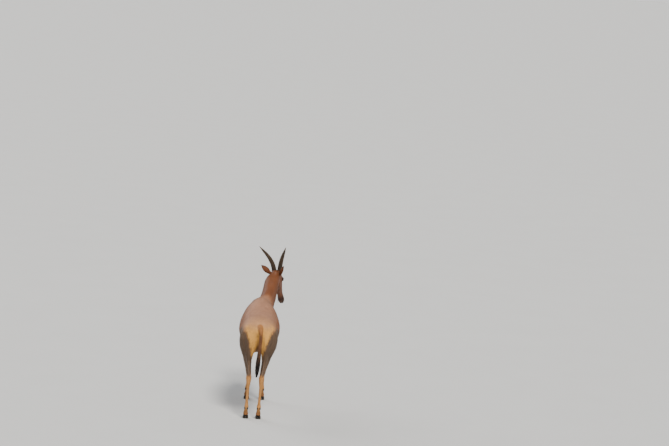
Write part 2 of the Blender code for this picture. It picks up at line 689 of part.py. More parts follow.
def main():
    for old in list(bpy.data.objects):
        bpy.data.objects.remove(old)
    scene = bpy.context.scene
    animal = bpy.data.collections.new("topi_antelope")
    helpers = bpy.data.collections.new("topi_helpers")
    scene.collection.children.link(animal)
    scene.collection.children.link(helpers)

    russet = material("russet_hide", (0.30, 0.135, 0.065), 0.55)
    slate = material("slate_leg_hide", (0.075, 0.055, 0.048), 0.55)
    dark_face = material("dark_face_hide", (0.060, 0.035, 0.030), 0.5)
    horn_finish = material("horn", (0.085, 0.066, 0.050), 0.45)
    hoof_finish = material("hoof", (0.020, 0.017, 0.015), 0.4)
    eye_finish = material("eye", (0.012, 0.008, 0.006), 0.08)
    ear_finish = material("ear_hide", (0.26, 0.12, 0.06), 0.6)
    tail_finish = material("tail_hair", (0.035, 0.024, 0.018), 0.6)

    hide = build_hide(helpers)
    rooted = [build_tail(animal, tail_finish)]
    for side in (1, -1):
        rooted.append(eye(side, animal, eye_finish))
        rooted.append(horn(side, animal, horn_finish))
        rooted.append(ear(side, animal, ear_finish))
        for end in ("fore", "hind"):
            for place in (1, -1):
                rooted.append(dewclaw(end, side, place, animal, hoof_finish))
    for piece in rooted:
        cut(hide, grown(piece, piece.name + "_socket", helpers, GAP))

    made = list(rooted)
    down_to_toe = Vector((0, -CORONET_SLOPE, -1)).normalized()
    for end in ("fore", "hind"):
        for side in (1, -1):
            made.append(hoof(end, side, animal, hoof_finish))
            top = coronet_centre(end, side) + UP * GAP / 2
            cut(hide, half_space(f"{made[-1].name}_room", helpers, top, down_to_toe, 0.12))

    for end in LEG_BLOCKS:
        for side in (1, -1):
            name = f"{end}_leg_{SIDE_NAME[side]}"
            block = leg_block(name + "_block", helpers, end, side)
            made.append(split(hide, name, animal, helpers, block, slate))
    block = head_block("head_block", helpers)
    made.append(split(hide, "head", animal, helpers, block, dark_face))
    block = half_space("neck_block", helpers, NECK_BASE, NECK_BASE_FACING, 1.1)
    made.append(split(hide, "neck", animal, helpers, block, russet))
    trunk_piece = copy_of(hide, "trunk", animal)
    trunk_piece.data.materials.append(russet)
    made.append(trunk_piece)
    bpy.data.objects.remove(hide)

    centre = bpy.data.objects.new("centre", None)
    centre.location = -CENTRE
    animal.objects.link(centre)
    for piece in made:
        piece.parent = centre


main()
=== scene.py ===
"""The looks of a life-size topi antelope, standing with its head turned to its right.

One skin stands for all the flesh of the CAD model, and lies inside it by the coat's depth.
It is eased from the CAD solids and given muscles, folds, eyelids, nostrils, a mouth and
ears. Small solid tufts of hair lie over it, and locks of long hair make the tail's tassel.
The horns, hooves, dewclaws and eyes are pieces of their own. Lengths are in metres, apart from the
tables of forms, which are in millimetres.
"""

import math

import bmesh
import bpy
import numpy as np
from mathutils import Matrix, Vector
from mathutils.kdtree import KDTree


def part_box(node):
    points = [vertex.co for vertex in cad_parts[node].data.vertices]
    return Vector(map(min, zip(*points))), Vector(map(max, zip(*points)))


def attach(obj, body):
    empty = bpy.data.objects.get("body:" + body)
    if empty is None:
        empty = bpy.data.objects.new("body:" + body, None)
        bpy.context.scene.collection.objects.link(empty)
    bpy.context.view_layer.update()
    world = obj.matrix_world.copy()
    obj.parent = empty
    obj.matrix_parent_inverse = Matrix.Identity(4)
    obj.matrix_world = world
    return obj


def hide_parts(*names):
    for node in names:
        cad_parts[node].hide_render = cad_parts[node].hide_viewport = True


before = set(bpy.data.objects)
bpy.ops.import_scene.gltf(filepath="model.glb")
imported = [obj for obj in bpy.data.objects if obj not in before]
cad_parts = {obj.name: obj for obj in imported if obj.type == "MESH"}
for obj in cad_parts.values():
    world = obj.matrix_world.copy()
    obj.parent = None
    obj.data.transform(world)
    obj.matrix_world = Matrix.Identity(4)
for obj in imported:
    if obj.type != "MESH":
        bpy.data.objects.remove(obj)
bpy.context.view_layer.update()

SIDES = {1: "left", -1: "right"}
ENDS = ("fore", "hind")
FLESH = ["head", "neck", "trunk", "fore_leg_left", "fore_leg_right", "hind_leg_left", "hind_leg_right"]
TURN = 2 * math.pi
UP = np.array((0.0, 0.0, 1.0))

# Where the body's own middle plane and zero stand in the frame. Places on the body are given
# from there, with x out to the side.
MIDDLE = np.array((0.0196, 0.1809, 0.0))
SWAY = {"fore": 0.018, "hind": 0.030}  # how far the feet stand to the left of the body
SWAY_FROM = 0.95  # height where a leg starts to lean
LOWER_LEGS = 0.52  # height of their upper ends
CORONET = 0.054  # height of the upper edge of the hooves
PASTERN_IN = 0.034  # from the back of a hoof to the middle of the leg

# The head's directions: down the face, to its left, and out of the forehead.
HEAD_YAW, HEAD_PITCH, HEAD_TILT = np.radians((17, 57, 3))
HEAD_AHEAD = np.array((-math.sin(HEAD_YAW), -math.cos(HEAD_YAW), 0))
LEVEL_LEFT = np.array((math.cos(HEAD_YAW), -math.sin(HEAD_YAW), 0))
HEAD_LEFT = LEVEL_LEFT * math.cos(HEAD_TILT) - UP * math.sin(HEAD_TILT)
HEAD_UP = UP * math.cos(HEAD_TILT) + LEVEL_LEFT * math.sin(HEAD_TILT)
DOWN_FACE = HEAD_AHEAD * math.cos(HEAD_PITCH) - HEAD_UP * math.sin(HEAD_PITCH)
HEAD_AXES = np.array((DOWN_FACE, HEAD_LEFT, np.cross(DOWN_FACE, HEAD_LEFT)))

# Places on the head, from the poll along those directions, with the second out to the side.
EYE_PLACE = (0.116, 0.0530, -0.030)
HORN_BASE = (0.020, 0.033, 0.004)
EAR_ROOT = (0.022, 0.052, -0.049)
NOSTRIL = (0.432, 0.024, -0.030)
NOSTRIL_ENDS = ((0.445, 0.0150, -0.033), (0.424, 0.0330, -0.0215))
NOSTRIL_DEPTH = (0.395, 0.010, -0.038)

HORN_LENGTH = 0.40
HORN_RADIUS = 0.0268
HORN_RINGS = 14
EAR_LENGTH = 0.146
EAR_AIM = {1: (0.68, 0.46, 0.62), -1: (0.48, 0.62, 0.64)}  # beside, behind and above, by side
HALF_EYE = 0.0162  # half the length of the eye's opening
EYEBALL, LID_RIM, LIDS, LASHES = 0.0193, 0.0199, 0.0203, 0.0208  # distances from the eye's middle

TAIL = [  # middle of the tail, half width and half depth of its hair
    (-0.006, 0.468, 1.018, 0.028, 0.022),
    (-0.014, 0.515, 0.998, 0.027, 0.020),
    (-0.020, 0.546, 0.955, 0.024, 0.016),
    (-0.021, 0.560, 0.885, 0.020, 0.014),
    (-0.017, 0.564, 0.800, 0.018, 0.014),
    (-0.011, 0.561, 0.710, 0.021, 0.018),
    (-0.005, 0.557, 0.620, 0.025, 0.021),
    (0.000, 0.554, 0.540, 0.019, 0.016),
    (0.003, 0.552, 0.480, 0.007, 0.006),
]
DOCK_END = 5.3  # where along that list the flesh of the tail ends

VOXEL = 0.0086  # of the skin
EASING = 60  # passes over the broad parts
TRIANGLES_A_PIECE = 190_000

RNG = np.random.default_rng(7)


# ---------------------------------------------------------------- small tools
def unit(vectors):
    """Vectors of length 1."""
    return vectors / np.maximum(np.linalg.norm(vectors, axis=-1, keepdims=True), 1e-12)


def far(points, place):
    """Each point's distance from a place."""
    return np.linalg.norm(points - place, axis=-1)


def step(x, low, high):
    """0 below low, 1 above high, and an even curve between."""
    t = np.clip((np.asarray(x, float) - low) / (high - low), 0, 1)
    return t * t * (3 - 2 * t)


def bell(x, width):
    """1 at 0, and less to both sides."""
    return np.exp(-((x / width) ** 2))


def tone(red, green, blue):
    """A colour given on the usual 0 to 255 scale, as linear light."""
    c = np.array((red, green, blue)) / 255
    return np.where(c <= 0.04045, c / 12.92, ((c + 0.055) / 1.055) ** 2.4)


def mixed(colour, other, share):
    """colour moved towards other by a share for each point."""
    return colour + (other - colour) * np.clip(share, 0, 1)[:, None]


def wobble(points, size, seed):
    """Smooth noise from about -1 to 1, of a typical size."""
    rng = np.random.default_rng(seed)
    total = np.zeros(len(points))
    for _ in range(7):
        way = unit(rng.normal(size=3)) * TURN / size * rng.uniform(0.6, 1.6)
        total += np.sin(points @ way + rng.uniform(0, 7) + np.sin(points @ way[[1, 2, 0]]))
    return total / 3.2


def to_segment(points, start, end):
    """Each point's distance from a straight line between two points."""
    way = end - start
    t = np.clip((points - start) @ way / max(way @ way, 1e-12), 0, 1)
    return far(points - start, t[:, None] * way)


def curve_through(rows, at):
    """A Catmull-Rom curve through rows, at places counted in rows."""
    rows = np.asarray(rows, float)
    at = np.clip(np.atleast_1d(at), 0, len(rows) - 1)
    i = np.minimum(at.astype(int), len(rows) - 2)
    t = (at - i)[:, None]
    a, b, c, d = (rows[np.clip(i + k, 0, len(rows) - 1)] for k in (-1, 0, 1, 2))
    return 0.5 * (2 * b + (c - a) * t + (2 * a - 5 * b + 4 * c - d) * t**2 + (3 * b - a - 3 * c + d) * t**3)


# ---------------------------------------------------------------- places
def middle_x(points):
    """Where the body's middle lies: it bends with the neck and leans with the legs."""
    y, z = points[:, 1], points[:, 2]
    ahead, bend = (0.33, 0.405, 0.48, 0.54, 0.59, 0.64), (-0.012, -0.032, -0.062, -0.083, -0.097, -0.110)
    neck = np.interp(-y, ahead, bend) * (y < -0.33)
    legs = np.where(y < 0, SWAY["fore"], SWAY["hind"]) * np.maximum(0.0, 1.0 - z / SWAY_FROM)
    return np.where(z > SWAY_FROM, neck, legs)


def on_body(place, side):
    """A place on one side of the body, in the frame."""
    at = np.array((0.0, place[1], place[2]))
    at[0] = middle_x(at[None])[0] + place[0] * side
    return at + MIDDLE


def box_middle(node):
    """The middle of a CAD node."""
    low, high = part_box(node)
    return np.array((low + high) / 2)


EYES = {side: box_middle(f"eye_{name}") for side, name in SIDES.items()}
POLL = (EYES[1] + EYES[-1]) / 2 - np.array((EYE_PLACE[0], 0, EYE_PLACE[2])) @ HEAD_AXES


def on_head(place, side=1):
    """A place on one side of the head, in the frame."""
    return POLL + np.array((place[0], place[1] * side, place[2])) @ HEAD_AXES


def head_places(points):
    """Points of the frame, given on the head."""
    return (points - POLL) @ HEAD_AXES.T


def near_head(points):
    """True on the head and the top of the neck."""
    return to_segment(points, on_head((0.03, 0, -0.05)), on_head((0.45, 0, -0.04))) < 0.115


def to_nostril(points, side):
    """Each point's distance from a nostril's slit."""
    return to_segment(points, *(on_head(end, side) for end in NOSTRIL_ENDS))


def tail_rows(at):
    """Middle, half width and half depth of the tail at places along it."""
    return curve_through(np.array(TAIL) + (*MIDDLE, 0, 0), at)


def eye_axes(side):
    """Out of the eye, along its opening towards the nose, and up across it."""
    gaze = unit(np.array((-0.10, side, 0.20)) @ HEAD_AXES)
    nose = unit(np.array((0.93, 0, 0.37)) @ HEAD_AXES)
    nose = unit(nose - gaze * (nose @ gaze))
    return gaze, nose, np.cross(nose, gaze) * side


def half_opening(share, above):
    """How far the eye's almond opening reaches up or down, at a share of its half length."""
    return np.where(above, 0.0098, 0.0080) * (1 - 0.34 * share**2 - 0.12 * share)


def opening(nose, up):
    """1 on the edge of the eye's opening, less within it and more outside."""
    share = nose / HALF_EYE
    return np.sqrt(share**2 + (up / np.maximum(half_opening(share, up > 0), 0.003)) ** 2)


def ear_lines(side):
    """The ear's root, and its directions: along it, across it, and out of its hollow."""
    beside, behind, above = EAR_AIM[side]
    along = unit(HEAD_LEFT * side * beside - HEAD_AHEAD * behind + HEAD_UP * above)
    facing = HEAD_AHEAD * 0.62 + HEAD_LEFT * side * 0.72 - HEAD_UP * 0.05
    facing = unit(facing - along * (facing @ along))
    return on_head(EAR_ROOT, side), along, np.cross(along, facing), facing


EAR_SHAPE = [  # share of the length, half width, half thickness, depth of the cup, lift
    (-0.10, 0.0120, 0.0110, 0.000, 0.000),
    (0.00, 0.0145, 0.0115, 0.000, 0.000),
    (0.12, 0.0180, 0.0085, 0.007, 0.000),
    (0.28, 0.0250, 0.0040, 0.014, 0.002),
    (0.46, 0.0305, 0.0024, 0.017, 0.004),
    (0.64, 0.0290, 0.0020, 0.014, 0.006),
    (0.80, 0.0212, 0.0018, 0.010, 0.009),
    (0.92, 0.0112, 0.0016, 0.005, 0.012),
    (1.00, 0.0020, 0.0010, 0.000, 0.015),
]


def ear_rows(share):
    """The rows of EAR_SHAPE at shares of the ear's length."""
    return curve_through(EAR_SHAPE, np.interp(share, [row[0] for row in EAR_SHAPE], range(len(EAR_SHAPE))))


# ---------------------------------------------------------------- mesh tools
def read(items, name, width=3, kind=np.float32):
    """One property of a mesh's vertices, edges, faces or corners, a row for each."""
    found = np.empty(len(items) * width, kind)
    items.foreach_get(name, found)
    return found.reshape(-1, width)


def points_of(obj):
    """A mesh's vertices."""
    return read(obj.data.vertices, "co").astype(float)


def normals_of(obj):
    """The normals at a mesh's vertices."""
    return read(obj.data.vertex_normals, "vector").astype(float)


def edges_of(obj):
    """A mesh's edges, as pairs of vertices."""
    return read(obj.data.edges, "vertices", 2, np.int32)


def set_points(obj, points):
    """Moves a mesh's vertices."""
    obj.data.vertices.foreach_set("co", points.astype(np.float32).ravel())
    obj.data.update()


def shade_smooth(obj):
    """Shades all a mesh's faces smooth."""
    obj.data.polygons.foreach_set("use_smooth", np.ones(len(obj.data.polygons), bool))


def eased(values, edges, passes, weight):
    """Values at a mesh's vertices, evened out along its edges."""
    a, b = edges.T
    n = len(values)
    count = np.maximum(np.bincount(edges.ravel(), minlength=n), 1)[:, None]
    for _ in range(passes):
        total = [np.bincount(a, v[b], n) + np.bincount(b, v[a], n) for v in values.T]
        values = values + weight[:, None] * (np.stack(total, 1) / count - values)
    return values


def eased_in_place(points, edges, passes, weight):
    """Points eased without shrinking: what the easing takes off is eased too and put back."""
    low = eased(points, edges, passes, weight)
    return low + eased(points - low, edges, passes, weight)


def added(name, data):
    """A new object in the scene."""
    made = bpy.data.objects.new(name, data)
    bpy.context.scene.collection.objects.link(made)
    return made


def from_bmesh(name, bm):
    """An object from a bmesh, which is freed."""
    mesh = bpy.data.meshes.new(name)
    bm.to_mesh(mesh)
    bm.free()
    return added(name, mesh)


def from_arrays(name, points, faces):
    """An object from arrays of points and of triangles or quads."""
    faces = np.asarray(faces, np.int32)
    mesh = bpy.data.meshes.new(name)
    mesh.vertices.add(len(points))
    mesh.vertices.foreach_set("co", np.asarray(points, np.float32).ravel())
    mesh.loops.add(faces.size)
    mesh.loops.foreach_set("vertex_index", faces.ravel())
    mesh.polygons.add(len(faces))
    mesh.polygons.foreach_set("loop_start", np.arange(0, faces.size, faces.shape[1], dtype=np.int32))
    mesh.update(calc_edges=True)
    made = added(name, mesh)
    shade_smooth(made)
    return made


def paint(obj, name, values):
    """Stores a colour, a vector or a number for each vertex."""
    values = np.asarray(values, np.float32)
    kind, key = ("FLOAT", "value") if values.ndim == 1 else ("FLOAT_VECTOR", "vector")
    if name.endswith("colour"):
        kind, key = "FLOAT_COLOR", "color"
        values = np.append(values, np.ones((len(values), 1), np.float32), 1)
    obj.data.attributes.new(name, kind, "POINT").data.foreach_set(key, values.ravel())


def with_modifier(obj, kind, **settings):
    """Puts a modifier on an object and bakes it into its mesh."""
    modifier = obj.modifiers.new(kind, kind)
    for key, value in settings.items():
        setattr(modifier, key, value)
    graph = bpy.context.evaluated_depsgraph_get()
    graph.update()
    finished = bpy.data.meshes.new_from_object(obj.evaluated_get(graph))
    obj.modifiers.clear()
    obj.data = finished


def tube_faces(rings, sides, closed=False):
    """Quads between rings of points."""
    ring, side = np.meshgrid(np.arange(rings if closed else rings - 1), np.arange(sides), indexing="ij")
    after, turn = (ring + 1) % rings, (side + 1) % sides
    quads = (ring * sides + side, ring * sides + turn, after * sides + turn, after * sides + side)
    return np.stack(quads, -1).reshape(-1, 4)


def tube_ends(rings, sides):
    """Triangles from the first and last ring to two points that follow the rings, for each side."""
    first, last = rings * sides, (rings - 1) * sides
    pairs = [(i, (i + 1) % sides) for i in range(sides)]
    closing = [(first + 1, last + i, last + after) for i, after in pairs]
    return [(first, after, i) for i, after in pairs], closing


def capped_tube(rings, sides):
    """The triangles of a tube with its two ends."""
    quads = tube_faces(rings, sides)
    return np.concatenate([quads[:, (0, 1, 2)], quads[:, (0, 2, 3)], *tube_ends(rings, sides)])


def hand_in(piece, finish, slot):
    """Gives a piece its material and body. slot is not used."""
    piece.data.materials.append(finish)
    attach(piece, "root")


# ---------------------------------------------------------------- the skin
SOCKET_BALLS = [  # that fill the roots of the horns and ears: a place on the head, and a radius
    (HORN_BASE, 0.0285),
    ((0.040, 0.031, -0.014), 0.0275),
    (EAR_ROOT, 0.0155),
    ((0.030, 0.044, -0.044), 0.0155),
]
EYE_BALL, PASTERN_BALL, DEWCLAW_BALL = 0.0195, 0.023, 0.0095  # radii of the others
DOCK = ((0, 1.5, 3, DOCK_END), (0.025, 0.020, 0.0135, 0.0065))  # places down the tail, and radii


def flesh():
    """The CAD model's flesh with its sockets filled, as one closed even mesh."""
    bm = bmesh.new()
    for name in FLESH:
        bm.from_mesh(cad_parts[name].data)
    balls = []
    for side, name in SIDES.items():
        balls.append((EYES[side], EYE_BALL))
        balls += [(on_head(place, side), radius) for place, radius in SOCKET_BALLS]
        for end in ENDS:
            low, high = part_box(f"hoof_{end}_{name}")
            pastern = ((low.x + high.x) / 2, high.y - PASTERN_IN, CORONET + 0.002)
            balls.append((pastern, PASTERN_BALL))
            for where in ("inner", "outer"):
                root = box_middle(f"dewclaw_{end}_{name}_{where}") + (0, -0.009, 0.008)
                balls.append((root, DEWCLAW_BALL))
    for at in np.linspace(0, DOCK_END, 70):
        balls.append((tail_rows(at)[0][:3], np.interp(at, *DOCK)))
    for centre, radius in balls:
        place = Matrix.Translation(Vector(centre))
        bmesh.ops.create_uvsphere(bm, u_segments=16, v_segments=12, radius=radius, matrix=place)
    skin = from_bmesh("skin", bm)
    with_modifier(skin, "REMESH", mode="VOXEL", voxel_size=VOXEL)
    return skin


def refine(mesh, inside):
    """Halves the edges of the faces whose middle is inside."""
    bm = bmesh.new()
    bm.from_mesh(mesh)
    bm.faces.ensure_lookup_table()
    middles = np.array([face.calc_center_median() for face in bm.faces])
    edges = {edge for i in np.flatnonzero(inside(middles)) for edge in bm.faces[i].edges}
    bmesh.ops.subdivide_edges(bm, edges=list(edges), cuts=1, use_grid_fill=True)
    bm.to_mesh(mesh)
    bm.free()


def breadth(points):
    """How freely the skin may be eased, from 0.07 on the legs and face to 1 on the body."""
    above_legs = (points[:, 2] - 0.66) / 0.16
    from_head = (far(points, on_head((0.1, 0, -0.04))) - 0.19) / 0.30
    from_tail = np.where((points[:, 1] > 0.69) & (np.abs(points[:, 0]) < 0.05), 0.07, 1.0)
    return np.clip(np.minimum(np.minimum(above_legs, from_head), from_tail), 0.07, 1.0)


def in_detail(points):
    """True on the head and the lower legs."""
    return near_head(points) | (points[:, 2] < LOWER_LEGS)


def near_pairs(points, eye_reach, place, reach):
    """True within reach of the eyes, or of another place on each side of the head."""
    found = np.zeros(len(points), bool)
    for side in SIDES:
        found |= (far(points, EYES[side]) < eye_reach) | (far(points, on_head(place, side)) < reach)
    return found


def near_face_parts(points):
    """True by the eyes, the nose and mouth, and the roots of the ears."""
    muzzle = (head_places(points)[:, 0] > 0.355) & near_head(points)
    return muzzle | near_pairs(points, 0.040, EAR_ROOT, 0.030)


def near_openings(points):
    """True by the eyelids and the nostrils."""
    return near_pairs(points, 0.029, NOSTRIL, 0.020)


def coat_depth(points):
    """How far the skin lies inside the tips of the coat."""
    depth = 0.0048 - 0.0026 * near_head(points) * step(head_places(points)[:, 0], 0.0, 0.12)
    depth = depth - 0.0020 * step(0.66 - points[:, 2], 0, 0.16)
    return depth * step(points[:, 2], CORONET + 0.004, CORONET + 0.030)


RELIEF = 1.35  # of the forms of the body

# Ridges and grooves of the body, in millimetres: from and to, three numbers each, the width, and
# the height, which is below 0 for a groove.
BODY_FORMS = [
    (118, 215, 1050, 134, 205, 1022, 28, 7.5),  # hip bone
    (100, 250, 1060, 50, 430, 1035, 26, 3),  # croup
    (0, 250, 1105, 0, 450, 1060, 14, 3),  # end of the spine
    (195, 100, 1000, 185, 155, 965, 46, -8.5),  # hollow of the flank
    (190, 210, 860, 140, 165, 735, 18, 4),  # fold of the flank
    (200, 160, 860, 155, 125, 725, 20, -4.5),
    (175, -225, 1010, 155, -235, 780, 22, -6),  # behind the upper arm
    (80, -315, 1145, 155, -400, 930, 12, 3),  # shoulder blade
    (75, -400, 1085, 145, -490, 905, 20, -4.5),
    (150, -330, 1010, 172, -370, 850, 13, -3.5),
    (160, -400, 865, 150, -345, 760, 12, -3),
    (150, -310, 750, 150, -315, 735, 22, 4),  # elbow
    (155, 470, 930, 130, 485, 680, 13, -5),  # behind the thigh
    (52, 535, 925, 52, 500, 720, 13, -4.5),
    (185, 370, 960, 160, 330, 760, 20, -3),
    (165, 160, 745, 165, 165, 725, 24, 4),  # knee cap
    (165, 250, 700, 108, 410, 530, 10, -3.5),  # outside of the gaskin
    (100, 445, 565, 88, 487, 495, 11, -6),  # before the heel tendon
    (55, 445, 565, 52, 487, 495, 11, -6),
    (98, 490, 478, 96, 492, 455, 12, 2.8),  # hock
    (41, 490, 478, 42, 492, 455, 12, 2.8),
    (75, -550, 1030, 62, -645, 1200, 14, -4.5),  # side of the throat
    (90, -460, 1080, 72, -600, 1235, 16, 2.5),
    (0, -560, 950, 0, -510, 780, 12, -5),  # between the breasts
    (20, -525, 790, 20, -500, 755, 34, 7),  # lower end of the breast
    (120, -180, 700, 150, 20, 725, 20, -2.5),  # above the breastbone
    (112, -398, 450, 112, -398, 422, 13, 3.4),  # knee
    (58, -398, 450, 58, -398, 422, 13, 3.4),
    (85, -425, 452, 85, -425, 425, 14, 3),
    (67, 515, 510, 67, 512, 484, 12, 4.5),  # point of the hock
    (85, -362, 452, 85, -362, 435, 10, 4.5),
    (104, -372, 385, 103, -372, 190, 5.5, -3),  # before the tendons
    (66, -372, 385, 67, -372, 190, 5.5, -3),
    (86, 499, 385, 85, 492, 190, 5.5, -3),
    (48, 499, 385, 49, 492, 190, 5.5, -3),
    (112, -385, 145, 112, -385, 135, 12, 2.2),  # fetlocks
    (58, -385, 145, 58, -385, 135, 12, 2.2),
    (94, 475, 145, 94, 475, 135, 12, 2.2),
    (40, 475, 145, 40, 475, 135, 12, 2.2),
    (85, -425, 120, 85, -450, 66, 7, -4.5),  # between the toes
    (67, 435, 120, 67, 410, 66, 7, -4.5),
    (85, -360, 110, 85, -385, 66, 7, -4.5),
    (67, 500, 110, 67, 475, 66, 7, -4.5),
]

# The same on the head: down the face, out to the side, out of the forehead.
HEAD_FORMS = [
    (155, 52, -52, 262, 37, -46, 7.5, 3.4),  # cheek bone
    (175, 50, -70, 300, 36, -60, 9, -2.4),
    (150, 20, 4, 360, 16, -6, 6, 1.4),  # edge of the nose bone
    (185, 32, -14, 345, 26, -20, 9, -2.4),
    (60, 0, 6, 150, 0, 6, 12, -1.6),  # forehead
    (38, 33, 10, 34, 33, 14, 24, 5),  # root of the horn
    (70, 56, -46, 82, 58, -50, 13, -4),  # temple
    (82, 50, -12, 112, 57, -7, 8.5, 2.8),  # rim over the eye
    (112, 57, -7, 146, 50, -18, 8.5, 2),
    (152, 48, -36, 158, 48, -38, 8.5, 2.6),  # scent gland
    (158, 52, -37, 160, 52, -38, 2.8, -5.5),
    (184, 48, -66, 196, 36, -118, 7, -3),  # front of the cheek
    (100, 40, -140, 180, 34, -124, 8, 2),  # edge of the jaw
    (210, 44, -58, 300, 35, -72, 2.2, 1.2),  # a vein
    (240, 40, -64, 262, 40, -88, 2, 1),
    (452, 0, -26, 455, 0, -56, 2.2, -1.8),  # cleft of the upper lip
    (432, 15, -20, 410, 26, -14, 6, 2.2),  # rim of the nostril
    (440, 33, -36, 420, 40, -30, 6, 2),
    (385, 38, -50, 440, 33, -52, 11, 3),  # upper lip
    (450, 12, -40, 450, 12, -52, 12, 3),
    (420, 10, -92, 432, 10, -84, 13, 4),  # lower lip and chin
]


def carved(points, normals):
    """The skin with its muscles, bones and folds."""
    rise = np.zeros(len(points))
    for forms, on_it, sideways, relief in ((BODY_FORMS, on_body, 0, RELIEF), (HEAD_FORMS, on_head, 1, 1)):
        for row in np.array(forms) / 1000:
            for side in SIDES if row[sideways] else (1,):
                gap = to_segment(points, on_it(row[:3], side), on_it(row[3:6], side))
                rise += relief * row[7] * bell(gap, row[6])
    x, y, z = (points - MIDDLE).T
    ribs = step(np.abs(x), 0.12, 0.19) * step(z, 0.72, 0.82) * step(-y, -0.16, -0.06)
    ribs *= step(y, -0.22, -0.12) * step(1.06 - z, 0, 0.08)
    rise += 0.0005 * ribs * np.sin(TURN * (y - 0.35 * z) / 0.043)
    loose = step(to_segment(points, on_head((0.0, 0, 0)), on_head((0.45, 0, -0.05))), 0.1, 0.2)
    rise += 0.0010 * loose * step(points[:, 2], 0.6, 0.8) * wobble(points, 0.09, 3)
    return points + normals * rise[:, None]


def with_mouth(points, normals):
    """The groove of the mouth, round the front of the muzzle and back to its corners."""
    along, left, out = head_places(points).T
    muzzle = near_head(points) * step(along, 0.350, 0.368)
    above = out + 0.0585 + 0.10 * (0.455 - along) - 0.004 * np.cos(left / 0.034 * 1.5)
    lips = 0.0016 * bell(above - 0.0060, 0.0042) + 0.0008 * bell(above + 0.0055, 0.0040)
    return points + normals * (muzzle * (lips - 0.0048 * bell(above, 0.0020)))[:, None]


def with_nostrils(points):
    """Two comma-shaped nostrils, sunk inwards and back."""
    for side in SIDES:
        middle = sum(on_head(end, side) for end in NOSTRIL_ENDS) / 2
        hole = 1 - step(to_nostril(points, side), 0.0026, 0.0062)
        points = points + unit(on_head(NOSTRIL_DEPTH, side) - middle) * (0.0120 * hole)[:, None]
    return points


def with_eyelids(points):
    """Lids with folds round each eye, open in an almond that bares the eyeball."""
    for side in SIDES:
        away = points - EYES[side]
        gap = far(points, EYES[side])
        gaze, nose, up = eye_axes(side)
        y, front = away @ up, away @ gaze
        q = opening(away @ nose, y)
        upper = step(y, -0.002, 0.003)
        lid = LIDS + 0.0022 * step(q, 0.98, 1.25)
        lid += (0.0012 + 0.0020 * upper) * bell(q - 1.38, 0.18)
        lid -= (0.0010 + 0.0018 * upper) * bell(q - 1.80, 0.12)
        lid -= 0.0060 * (1 - step(q, 0.78, 0.94))
        share = (front > 0.003) & (gap < 0.045)
        share = share * (1 - step(q, 1.75, 2.5)) * step(front, 0.003, 0.008)
        wanted = EYES[side] + away * (lid / np.maximum(gap, 1e-6))[:, None]
        points = points + (wanted - points) * share[:, None]
    return points


def ear(side):
    """A leaf-shaped ear, rolled at its root, cupped, with ridges inside."""
    root, along, across, facing = ear_lines(side)
    sides, n = 36, 44
    turns = TURN * (np.arange(sides) + 0.5) / sides
    x, y = np.cos(turns), np.sin(turns)
    rings = []
    for share, width, thick, cup, lift in curve_through(EAR_SHAPE, np.linspace(0, len(EAR_SHAPE) - 1, n)):
        edge = 0.0006 * math.sin(share * 40) * (share > 0.2)
        middle = root + along * EAR_LENGTH * share + UP * lift
        ridges = 0.0009 * np.cos(x * 9) * (y > 0) * step(share, 0.15, 0.3)
        depth = thick * y * (1 - 0.25 * x * x) - cup * (1 - x * x) + ridges * (1 - x * x)
        rings.append(middle + np.outer(x * (width + edge), across) + np.outer(depth, facing))
    bm = bmesh.new()
    corners = [bm.verts.new(p) for p in np.concatenate([*rings, [rings[0].mean(0)], [rings[-1].mean(0)]])]
    ends = [face for pair in zip(*tube_ends(n, sides)) for face in pair]
    for face in [*tube_faces(n, sides), *ends]:
        bm.faces.new([corners[i] for i in face])
    bmesh.ops.recalc_face_normals(bm, faces=bm.faces)
    return from_bmesh("ear", bm)


def build_skin():
    """The one skin, eased, set in by the coat's depth, carved and given its ears."""
    skin = flesh()
    for inside in (in_detail, near_face_parts, near_openings):
        refine(skin.data, inside)
    edges = edges_of(skin)
    points = points_of(skin)
    points = eased_in_place(points, edges, EASING, 0.5 * breadth(points))
    points = eased_in_place(points, edges, 8, 0.5 * in_detail(points))
    set_points(skin, points)
    points = points - normals_of(skin) * coat_depth(points)[:, None]
    set_points(skin, points)
    points = carved(points, normals_of(skin))
    points = with_eyelids(with_nostrils(with_mouth(points, normals_of(skin))))
    set_points(skin, eased(points, edges, 2, np.full(len(points), 0.3)))
    for side in SIDES:
        shell = ear(side)
        with_modifier(skin, "BOOLEAN", operation="UNION", solver="EXACT", object=shell)
        bpy.data.objects.remove(shell)
    points = points_of(skin)
    near_roots = np.zeros(len(points))
    for side in SIDES:
        root, along, _, _ = ear_lines(side)
        near_roots = np.maximum(near_roots, 1 - step(far(points, root + along * 0.014), 0.012, 0.028))
    set_points(skin, eased(points, edges_of(skin), 10, 0.5 * near_roots))
    shade_smooth(skin)
    return skin


# ---------------------------------------------------------------- markings
RUSSET = tone(140, 90, 58)
# pale mauve for the painted sheen of light along the top of the back
SHEEN_MAUVE = tone(192, 148, 122)
FAWN = tone(204, 152, 100)
BUFF = tone(228, 168, 84)
SLATE = tone(98, 80, 64)
OCHRE = tone(190, 134, 76)
BROWN = tone(122, 80, 50)
CHESTNUT = tone(116, 70, 44)
FACE = tone(112, 66, 42)
DARK = tone(58, 36, 28)
BLACK = tone(30, 24, 22)
LIPS = tone(112, 84, 68)
UMBER = tone(122, 80, 48)
TAWNY = tone(172, 114, 62)
PALE = tone(206, 176, 142)
EAR = tone(112, 66, 40)
BARE = tone(44, 34, 32)


